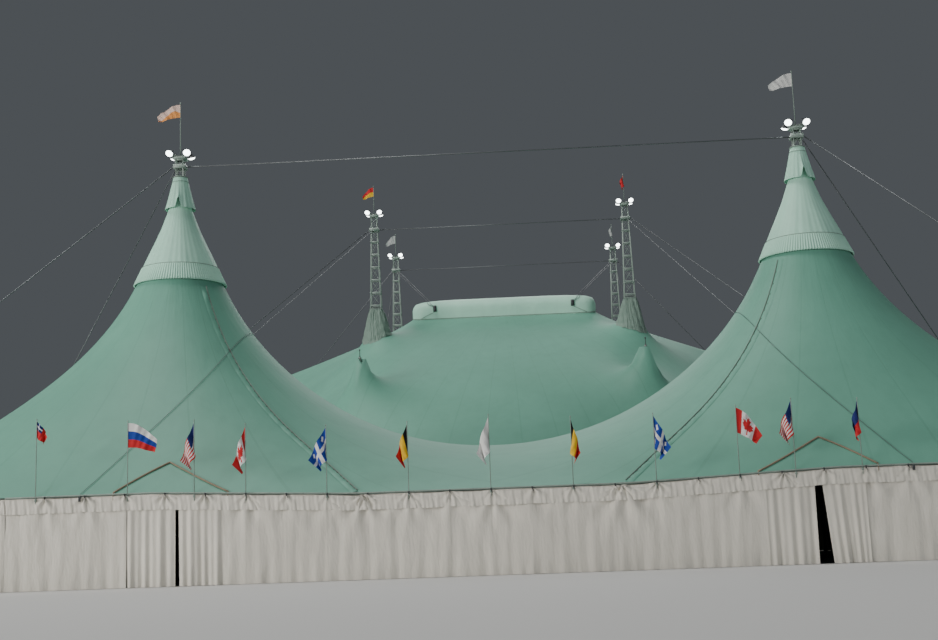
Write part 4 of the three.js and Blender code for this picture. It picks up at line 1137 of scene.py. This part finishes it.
def lamp(housing, glass, centre, aim):
    """A round floodlight: a ribbed housing, a yoke and a bright domed lens that looks along aim."""
    turn = Vector((0, 0, 1)).rotation_difference(Vector(aim).normalized()).to_matrix()

    def moved(points):
        return [Vector(centre) + turn @ Vector(p) for p in points]

    shell = [
        (0.02, -0.13), (0.08, -0.13), (0.1, -0.1), (0.1, -0.07), (0.15, -0.03), (0.185, 0.03),
        (0.195, 0.03), (0.195, 0.055), (0.175, 0.055), (0.17, 0.04),
    ]
    points, faces = lathe(shell, 24, (0, 0))
    housing.add(moved(points), faces)
    dome = [(0.17 * math.sin(a), 0.045 + 0.09 * math.cos(a)) for a in np.linspace(0.01, math.pi / 2, 7)]
    points, faces = lathe(dome, 24, (0, 0))
    glass.add(moved(points), faces)
    for side in (-1, 1):
        yoke = [(side * 0.21, 0, 0.0), (side * 0.21, 0, -0.14), (side * 0.12, 0, -0.2), (0, 0, -0.2)]
        points, faces = rope(yoke, 0.012, 6)
        housing.add(moved(points), faces)


LAMP_OUT = 0.42


def mast_head(steel, housing, glass, x, y, top, tip):
    """A plate with crossed arms, a lamp at each end of them, and the flag's pole."""
    arm = top + 0.15
    steel.add(*block((x, y, top + 0.02), (0.64, 0.64, 0.08), 0.1))
    for sign in (-1, 1):
        reach = LAMP_OUT * np.array((1, sign))
        steel.add(*rope([(x - reach[0], y - reach[1], arm), (x + reach[0], y + reach[1], arm)], 0.032, 8))
        for post_x in (x - 0.3, x + 0.3):
            steel.add(*upright(post_x, y + sign * 0.3, (top, arm), 0.025, 6))
    steel.add(*upright(x, y, (top, tip - 0.05, tip), [0.024, 0.016, 0.014], 10))
    knob = [(0.001, tip + 0.045), (0.03, tip + 0.03), (0.042, tip), (0.02, tip - 0.03)]
    steel.add(*lathe(knob, 12, (x, y)))
    for sx, sy in CORNERS:
        aim = (0.15 * sx, 0.6 * sy, -0.62) if sy < 0 else (0.15 * sx, 0.22, -0.8)
        lamp(housing, glass, (x + sx * LAMP_OUT, y + sy * LAMP_OUT, arm + 0.07), aim)


def build_mast(node, x, y, top, tip, big_mast):
    steel, housing, glass = Parts(), Parts(), Parts()
    lattice(steel, x, y, top, big_mast)
    mast_head(steel, housing, glass, x, y, top, tip)
    if not big_mast:
        radius, z = TOP_RADIUS - 0.03, TOP_HEIGHT - 0.03
        steel.add(*rope(hoop((x, y), radius, z, 49), 0.03, 8))
        for dx, dy in ((radius, 0), (0, radius)):
            steel.add(*rope([(x - dx, y - dy, z), (x + dx, y + dy, z)], 0.025, 8))
    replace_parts(steel.object(node, STEEL, "mast_steel"), node)
    housing.object(f"{node}_lamps", DARK, "mast_steel")
    glass.object(f"{node}_lenses", GLASS, "mast_steel")


for side, sign in SIDES:
    build_mast(f"hall_mast_{side}", sign * HALL_MAST_X, RIDGE_Y, HALL_MAST_TOP, HALL_POLE_TIP, False)
    for row, forward in ROWS:
        tip = BIG_POLE_TIP if row == "front" else REAR_POLE_TIP
        y = CENTRE_Y + forward * BIG_MAST_Y
        build_mast(f"big_mast_{row}_{side}", sign * BIG_MAST_X, y, BIG_MAST_TOP, tip, True)


def quarter_pole(node, x, y, top):
    """A pole whose thin dark spike and knob stand out of the roof."""
    parts, spike = Parts(), Parts()
    profile = [
        (0.03, top + 0.12), (0.09, top + 0.1), (0.1, top + 0.04), (QUARTER_RADIUS, top + 0.02),
        (QUARTER_RADIUS, 0.3), (0.12, 0.28), (0.12, 0.06),
    ]
    parts.add(*lathe(profile, 16, (x, y)))
    parts.add(*block((x, y, 0.025), (0.5, 0.5, 0.05), 0.05))
    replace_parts(parts.object(node, STEEL, "mast_steel"), node)
    tip = top + QUARTER_TIP
    profile = [
        (0.001, tip + 0.03), (0.04, tip + 0.015), (0.055, tip - 0.03), (0.035, tip - 0.07),
        (0.02, tip - 0.09), (0.024, top + 0.22), (0.04, top + 0.16), (0.075, top + 0.11),
        (0.1, top + 0.06), (0.13, top + 0.02),
    ]
    spike.add(*lathe(profile, 16, (x, y)))
    spike.object(f"{node}_spike", DARK, "mast_steel")


for side, sign in SIDES:
    quarter_pole(f"quarter_pole_side_{side}", sign * QUARTER_POLES[1][0], CENTRE_Y, QUARTER_POLES[1][2])
    for row, forward in ROWS:
        x, y, top = QUARTER_POLES[0]
        quarter_pole(f"quarter_pole_{row}_{side}", sign * x, CENTRE_Y + forward * y, top)


# Boots where the masts leave the big top's roof

BOOT_TURNS = 144
BOOT_ROWS = 26
BOOT_HALF = 0.43


def boot(node, x, y, seed):
    """A loose, creased sleeve, square where a band holds it to the mast and round at the roof."""
    chance = np.random.default_rng(seed)
    phases = chance.uniform(0, 2 * math.pi, 9)
    points, uv = [], []
    for row in range(BOOT_ROWS + 1):
        part = row / BOOT_ROWS
        for k in range(BOOT_TURNS):
            turn = 2 * math.pi * k / BOOT_TURNS
            square = max(abs(math.cos(turn)), abs(math.sin(turn)))
            inner = min(BOOT_HALF / square, 1.32 * BOOT_HALF)
            wander = 1.6 * math.sin(2.3 * part + phases[8])
            crease = sum(
                math.sin((5 + 3 * n) * turn + phases[n] + wander * (1 + 0.3 * n)) / (n + 2) for n in range(8)
            )
            held = min(1, 6 * part) * (1 - 0.6 * part)
            pile = math.sin(26 * part + 2.2 * math.sin(3 * turn + phases[0]) + phases[8])
            radius = inner + (BOOT_RADIUS - inner) * part + 0.085 * crease * held + 0.03 * pile * part**2
            px, py = x + radius * math.cos(turn), y + radius * math.sin(turn)
            rest = height_on(big_tree, px, py) + 0.02
            z = rest + (BOOT_TOP + 0.05 - rest) * (1 - part) ** BOOT_FLARE
            points.append((px, py, z + 0.04 * math.sin(9 * part + 4 * turn) * part * (1 - part)))
            uv.append((k / 24, 2 * part))
    faces = grid_faces(BOOT_ROWS + 1, BOOT_TURNS, closed=True)
    piece = add_mesh(node, points, faces, BOOT, "boot_fabric", uv)
    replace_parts(piece, node)
    band = Parts()
    for z, thickness in ((BOOT_TOP, 0.022), (BOOT_TOP - 0.12, 0.014)):
        half = BOOT_HALF + 0.015
        corners = [(x + sx * half, y + sy * half, z) for sx, sy in (*CORNERS, CORNERS[0])]
        band.add(*rope(corners, thickness, 6))
    band.object(node.replace("mast_boot", "boot_band"), HEM, "boot_fabric")


for index, (side, sign) in enumerate(SIDES):
    for forward_index, (row, forward) in enumerate(ROWS):
        y = CENTRE_Y + forward * BIG_MAST_Y
        boot(f"mast_boot_{row}_{side}", sign * BIG_MAST_X, y, 140 + 2 * index + forward_index)


# Cables, collars and anchors

CABLE_RADIUS = 0.025
COLLAR_HEIGHT = 0.2


def anchor(wire, dark, foot):
    """A ground plate held by three stakes, with a shackle for its guy."""
    x, y = foot
    dark.add(*block((x, y, 0.03), (0.48, 0.3, 0.06), 0.05))
    for dx in (-0.16, 0, 0.16):
        dark.add(*upright(x + dx, y, (0.02, 0.28, 0.29), [0.026, 0.026, 0.036], 8))
    wire.add(*rope([(x, y, 0.05), (x, y + 0.03, 0.12), (x, y, 0.16)], 0.02, 6))


def guy(wire, head, foot):
    """A straight cable with a bottle screw near the ground."""
    start, end = Vector(head), Vector((*foot, 0.15))
    along = (end - start).normalized()
    wire.add(*rope([start, end], CABLE_RADIUS, 8))
    low, high = end - along * 1.6, end - along * 0.9
    wire.add(*rope([low, low + along * 0.08, high - along * 0.08, high], [0.03, 0.055, 0.055, 0.03], 10))


def collar(steel, x, y, middle, half):
    """A square clamp band round a mast."""
    reach = half + 0.09
    thick = 0.06
    lengths = (2 * reach + thick, 2 * reach - thick)
    square_band(steel, (x, y, middle), reach, lengths, thick, COLLAR_HEIGHT, 0.012)


def cable_set(node, x, y, z, half, guys, extra=None):
    """The cable between a pair of masts, their collars and guys, and what else starts at a collar."""
    wire, steel, dark = Parts(), Parts(), Parts()
    middle = z + COLLAR_HEIGHT / 2
    edge = half + 0.12
    wire.add(*rope([(-x + edge, y, middle), (x - edge, y, middle)], CABLE_RADIUS, 8))
    for sign in (-1, 1):
        collar(steel, sign * x, y, middle, half)
        for gx, gy in guys:
            foot = (sign * gx, gy)
            out = Vector((foot[0] - sign * x, foot[1] - y))
            out *= edge / max(abs(out.x), abs(out.y))
            guy(wire, (sign * x + out.x, y + out.y, middle), foot)
            anchor(wire, dark, foot)
        if extra:
            extra(wire, dark, sign, edge, middle)
    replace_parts(wire.object(node, WIRE, "cable_steel"), node)
    steel.object(f"{node}_collars", STEEL, "cable_steel")
    dark.object(f"{node}_anchors", DARK, "cable_steel")


def roof_stay(wire, dark, sign, edge, middle):
    """The cable from a front mast over the hall's ridge and down its front roof to the eave."""
    points = [(sign * BIG_MAST_X, CENTRE_Y - BIG_MAST_Y - edge, middle)]
    for part in np.linspace(0, 1, 25):
        x = STAY_RIDGE_X + (STAY_EAVE_X - STAY_RIDGE_X) * part**2
        y = max(RIDGE_Y * (1 - part), 0.02)
        points.append((sign * x, y, height_on(hall_tree, sign * x, y) + 0.05))
    eave = float(eave_height(STAY_EAVE_X))
    points.append((sign * STAY_EAVE_X, -0.1, eave - 0.1))
    wire.add(*rope(points, 0.01, 8))
    dark.add(*block((sign * STAY_EAVE_X, -0.1, eave - 0.14), (0.1, 0.05, 0.2), 0.015))


def cupola_lines(wire, dark, sign, edge, middle):
    """The pair of lines from a rear mast over the cupola's front edge and down its face to a fitting."""
    face = CENTRE_Y - CUPOLA_DEPTH
    for shift in (-0.09, 0.09):
        over = sign * LINE_OVER_X + shift
        start = (sign * BIG_MAST_X + shift, CENTRE_Y + BIG_MAST_Y - edge, middle)
        points = [
            start,
            (over, face + 0.35, CUPOLA_TOP + 0.05),
            (over - sign * 0.08, face + 0.08, CUPOLA_TOP - 0.22),
            (sign * FITTING_X + shift * 0.6, face - 0.06, FITTING_Z + 0.1),
        ]
        wire.add(*rope(points, 0.016, 8))
    x, y = sign * FITTING_X, face - 0.07
    dark.add(*block((x, y, FITTING_Z), (0.24, 0.09, 0.46), 0.04))
    for z in (FITTING_Z - 0.14, FITTING_Z + 0.14):
        dark.add(*rope([(x, y - 0.04, z), (x, y - 0.09, z), (x, y - 0.1, z)], [0.05, 0.05, 0.02], 10))
    loop = [(x - 0.12, y - 0.02, FITTING_Z), (x, y - 0.1, FITTING_Z - 0.02), (x + 0.12, y - 0.02, FITTING_Z)]
    wire.add(*rope(loop, 0.012, 6))


big_half = mast_half(BIG_COLLAR_Z, True)
cable_set("hall_cables", HALL_MAST_X, RIDGE_Y, HALL_COLLAR_Z, HALL_MAST_HALF, HALL_GUYS)
cable_set(
    "big_cables_front", BIG_MAST_X, CENTRE_Y - BIG_MAST_Y, BIG_COLLAR_Z, big_half, BIG_FRONT_GUYS, roof_stay,
)
cable_set(
    "big_cables_rear", BIG_MAST_X, CENTRE_Y + BIG_MAST_Y, BIG_COLLAR_Z, big_half, BIG_REAR_GUYS, cupola_lines,
)


# Flags

LEAF = [
    (0, 0.47), (0.07, 0.33), (0.16, 0.38), (0.12, 0.14), (0.24, 0.26), (0.27, 0.2), (0.38, 0.22),
    (0.34, 0.08), (0.42, 0.04), (0.22, -0.14), (0.25, -0.2), (0.03, -0.17), (0.03, -0.4),
]


def inside_leaf(u, v):
    """Whether a place from the flag's middle lies inside a simple maple leaf."""
    outline = LEAF + [(-x, y) for x, y in reversed(LEAF)]
    within = np.zeros(u.shape, bool)
    for (x0, y0), (x1, y1) in zip(outline, outline[1:] + outline[:1]):
        crosses = (y0 > v) != (y1 > v)
        with np.errstate(divide="ignore", invalid="ignore"):
            within ^= crosses & (u < (x1 - x0) * (v - y0) / (y1 - y0) + x0)
    return within


def pattern(kind, u, v):
    """The dye at each place of a flag, and the painted shade on the pink one: u from the pole to the fly, v
    from the foot to the head.
    """
    dye_and_painted_shade = np.full(u.shape, "white", dtype=object)
    if kind == "leaf":
        dye_and_painted_shade[(u < 0.25) | (u > 0.75) | inside_leaf((u - 0.5) * 2, v - 0.5)] = "red"
    elif kind == "stripes":
        dye_and_painted_shade[(np.floor(v * 13) % 2) == 0] = "red"
        dye_and_painted_shade[(u < 0.4) & (v > 6 / 13)] = "navy"
    elif kind == "cross":
        dye_and_painted_shade[:] = "blue"
        dye_and_painted_shade[(abs(u - 0.5) < 0.07) | (abs(v - 0.5) < 0.1)] = "white"
        dye_and_painted_shade[abs(abs(u - 0.5) - 0.28) / 0.07 + abs(abs(v - 0.5) - 0.3) / 0.13 < 1] = "white"
    elif kind == "bands_across":
        dye_and_painted_shade[v < 2 / 3] = "blue"
        dye_and_painted_shade[v < 1 / 3] = "red"
    elif kind == "bands_upright":
        dye_and_painted_shade[:] = "yellow"
        dye_and_painted_shade[u < 0.3] = "black"
        dye_and_painted_shade[u > 0.6] = "red"
    elif kind == "ensign":
        dye_and_painted_shade[:] = "red"
        dye_and_painted_shade[(u < 0.5) & (v > 0.5)] = "navy"
        dye_and_painted_shade[(u < 0.5) & (v > 0.5) & ((abs(u - 0.25) < 0.03) | (abs(v - 0.75) < 0.05))] = "white"
    # A pink flag; its orange lower part with the wavy edge is painted shade, not a second dye.
    elif kind == "blush":
        dye_and_painted_shade[:] = "pink"
        dye_and_painted_shade[v < 0.35 + 0.2 * np.sin(5 * u)] = "orange"
    elif kind == "halves":
        dye_and_painted_shade[:] = "red"
        dye_and_painted_shade[v < 0.5] = "yellow"
    elif kind == "two_bands":
        dye_and_painted_shade[:] = "navy"
        dye_and_painted_shade[v < 0.5] = "red"
    elif kind != "plain":
        dye_and_painted_shade[:] = kind
    return dye_and_painted_shade


POLE_END = 0.08
FLAG_COLUMNS = 48
FLAG_ROWS = 39


def flag(name, pole, fly, hoist, drop, kind, seed):
    """A flag on its pole. The more it drops for its fly, the more its free end falls in rounded folds."""
    chance = np.random.default_rng(seed)
    phase = chance.uniform(-0.5, 0.5, 3)
    x, y, top = pole
    u, v = np.meshgrid(np.linspace(0, 1, FLAG_COLUMNS + 1), np.linspace(1, 0, FLAG_ROWS + 1))
    down = 1 - v
    side = math.copysign(1, fly)
    limp = min(1.0, max(0.0, (drop / abs(fly) - 0.4) / 0.7))
    head_fall = drop * (limp * 1.65 * u**0.95 + (1 - limp) * 2.0 * u**1.9)
    foot_fall = hoist + drop * (limp * u**0.8 + (1 - limp) * 0.7 * u**2)
    fall = head_fall * (1 - down) + foot_fall * down
    head_reach = u ** (1 - 0.15 * limp)
    foot_reach = limp * 0.42 * u**2.2 + (1 - limp) * (u - 0.06 * u**2)
    reach = abs(fly) * (head_reach * (1 - down) + foot_reach * down)
    turn = 2 * math.pi * (1.4 * u - 0.2 * down) + phase[0]
    grown = np.minimum(1, 2.2 * u)
    sway = 0.09 * limp * (np.sin(turn) - math.sin(phase[0])) * grown * (0.3 + 0.7 * down)
    across = x + side * (reach - sway)
    forth = (0.03 + 0.12 * limp) * u**0.6 * np.cos(turn)
    forth += (0.06 - 0.03 * limp) * u * np.sin(2 * math.pi * (2.1 * u + 0.5 * down) + phase[1])
    forth += 0.018 * grown * np.sin(2 * math.pi * (4.7 * u + 1.1 * down) + phase[2])
    ripples = 0.03 * (1 - limp) * u * np.sin(2 * math.pi * 1.2 * u + phase[2])
    points = np.stack([across, y + forth - forth[:, :1], top - fall + ripples], -1).reshape(-1, 3)
    faces = grid_faces(FLAG_ROWS + 1, FLAG_COLUMNS + 1)
    uv = np.stack([u, v], -1).reshape(-1, 2)
    piece = add_mesh(name, points, faces, flag_cloths["white"], "flag_cloth", uv)
    middle_u, middle_v = (values.reshape(-1)[faces].mean(1) for values in (u, v))
    dye_and_painted_shade = pattern(kind, middle_u, middle_v)
    names = sorted(set(dye_and_painted_shade))
    piece.data.materials.clear()
    for one in names:
        piece.data.materials.append(flag_cloths[one])
    piece.data.polygons.foreach_set("material_index", [names.index(one) for one in dye_and_painted_shade])


EAVE_FLAGS = (
    (-17.6, 3.0, 0.45, 0.6, 0.35, "ensign"),
    (-14.0, 2.8, 1.15, 0.95, 0.35, "bands_across"),
    (-11.4, 2.8, -0.55, 0.95, 0.9, "stripes"),
    (-9.4, 2.65, -0.5, 0.95, 0.9, "leaf"),
    (-6.27, 2.6, -0.7, 0.95, 0.75, "cross"),
    (-3.13, 2.65, -0.45, 0.95, 0.75, "bands_upright"),
    (0, 2.8, -0.5, 1.0, 0.85, "plain"),
    (3.13, 2.6, 0.35, 0.95, 0.8, "bands_upright"),
    (6.27, 2.55, 0.6, 0.95, 0.75, "cross"),
    (9.4, 2.6, 0.95, 0.95, 0.6, "leaf"),
    (11.5, 2.7, -0.55, 0.95, 0.75, "stripes"),
    (13.98, 2.55, -0.3, 0.95, 0.6, "two_bands"),
    (17.6, 2.6, 0.5, 0.95, 0.7, "cross"),
)
RAIL_Y = -0.031


def eave_flags():
    poles = Parts()
    line = [(x, RAIL_Y, float(eave_height(x))) for x in np.linspace(-HALL_END_X, HALL_END_X, 41)]
    poles.add(*rope(line, 0.028, 8))
    for index, (x, tip, fly, hoist, drop, kind) in enumerate(EAVE_FLAGS):
        eave = float(eave_height(x))
        top = eave + tip
        knob = [(0.001, top + 0.03), (0.022, top + 0.02), (0.028, top), (0.012, top - 0.02)]
        poles.add(*upright(x, RAIL_Y, (eave - 0.3, top - 0.02, top), [0.02, 0.015, 0.012], 8))
        poles.add(*lathe(knob, 10, (x, RAIL_Y)))
        poles.add(*block((x, RAIL_Y, eave - 0.12), (0.08, 0.07, 0.1), 0.01))
        pole = (x, RAIL_Y, top - POLE_END)
        flag(f"eave_flag_{index + 1}", pole, fly, hoist, drop, kind, 200 + index)
    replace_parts(poles.object("eave_flags", STEEL, "flag_cloth"), "eave_flags")


eave_flags()

MAST_FLAG_HOIST = 0.66
MAST_FLAGS = (
    # The left hall flag is pink, with painted shade on its lower part.
    ("hall_flag_left", -HALL_MAST_X, RIDGE_Y, HALL_POLE_TIP, -1.15, 0.3, "blush"),
    ("hall_flag_right", HALL_MAST_X, RIDGE_Y, HALL_POLE_TIP, -1.15, 0.3, "plain"),
    ("big_flag_front_left", -BIG_MAST_X, CENTRE_Y - BIG_MAST_Y, BIG_POLE_TIP, -0.8, 0.35, "halves"),
    ("big_flag_front_right", BIG_MAST_X, CENTRE_Y - BIG_MAST_Y, BIG_POLE_TIP, -0.3, 0.35, "red"),
    ("big_flag_rear_left", -BIG_MAST_X, CENTRE_Y + BIG_MAST_Y, REAR_POLE_TIP, -0.8, 0.35, "grey"),
    ("big_flag_rear_right", BIG_MAST_X, CENTRE_Y + BIG_MAST_Y, REAR_POLE_TIP, -0.3, 0.35, "grey"),
)
for index, (name, x, y, tip, fly, drop, kind) in enumerate(MAST_FLAGS):
    flag(name, (x, y, tip - POLE_END), fly, MAST_FLAG_HOIST, drop, kind, 260 + index)


# Camera, light and floor

FLOOR_REACH = 220
LIGHT_TARGET = Vector((0, 0, 4))


def camera():
    pitch, yaw, roll = CAMERA_PITCH, CAMERA_YAW, CAMERA_ROLL
    forward = Vector((-math.sin(yaw) * math.cos(pitch), math.cos(yaw) * math.cos(pitch), math.sin(pitch)))
    level = Vector((math.cos(yaw), math.sin(yaw), 0))
    upright = level.cross(forward)
    right = math.cos(roll) * level + math.sin(roll) * upright
    up = -math.sin(roll) * level + math.cos(roll) * upright
    data = bpy.data.cameras.new("photo_camera")
    data.sensor_width = SENSOR_WIDTH
    data.lens = FOCAL_PIXELS / PHOTO_WIDTH * SENSOR_WIDTH
    data.clip_end = 500
    made = add_object("photo_camera", data)
    axes = Matrix((right, up, -forward)).transposed().to_4x4()
    made.matrix_world = Matrix.Translation(Vector(place(CAMERA_PLACE))) @ axes
    bpy.context.scene.camera = made


def light(name, where, size, power, colour=(1, 1, 1)):
    data = bpy.data.lights.new(name, "AREA")
    data.shape = "RECTANGLE"
    data.size, data.size_y = size
    data.energy = power
    data.color = colour
    made = add_object(name, data)
    made.location = where
    made.rotation_euler = (LIGHT_TARGET - Vector(where)).to_track_quat("-Z", "Y").to_euler()


def floor():
    mesh = bpy.data.meshes.new("floor")
    corners = [(sx * FLOOR_REACH, sy * FLOOR_REACH, 0) for sx, sy in CORNERS]
    mesh.from_pydata(corners, [], [(0, 1, 2, 3)])
    mesh.materials.append(new_material("floor_plain", Roughness=0.9, Base_Color=(0.62, 0.62, 0.61, 1))[0])
    add_object("floor", mesh)


camera()
light("key", (-20, -8, 62), (22, 18), 23000, (1, 0.985, 0.96))
light("front", (-50, -46, 12), (24, 16), 21000, (1, 0.98, 0.94))
light("fill", (44, -56, 16), (40, 26), 5000, (0.95, 0.98, 1))
light("back", (6, 56, 44), (50, 30), 10000)
floor()
world = bpy.data.worlds.new("studio")
world.use_nodes = True
world.node_tree.nodes["Background"].inputs["Color"].default_value = (0.1, 0.11, 0.12, 1)
world.node_tree.nodes["Background"].inputs["Strength"].default_value = 0.8
bpy.context.scene.world = world
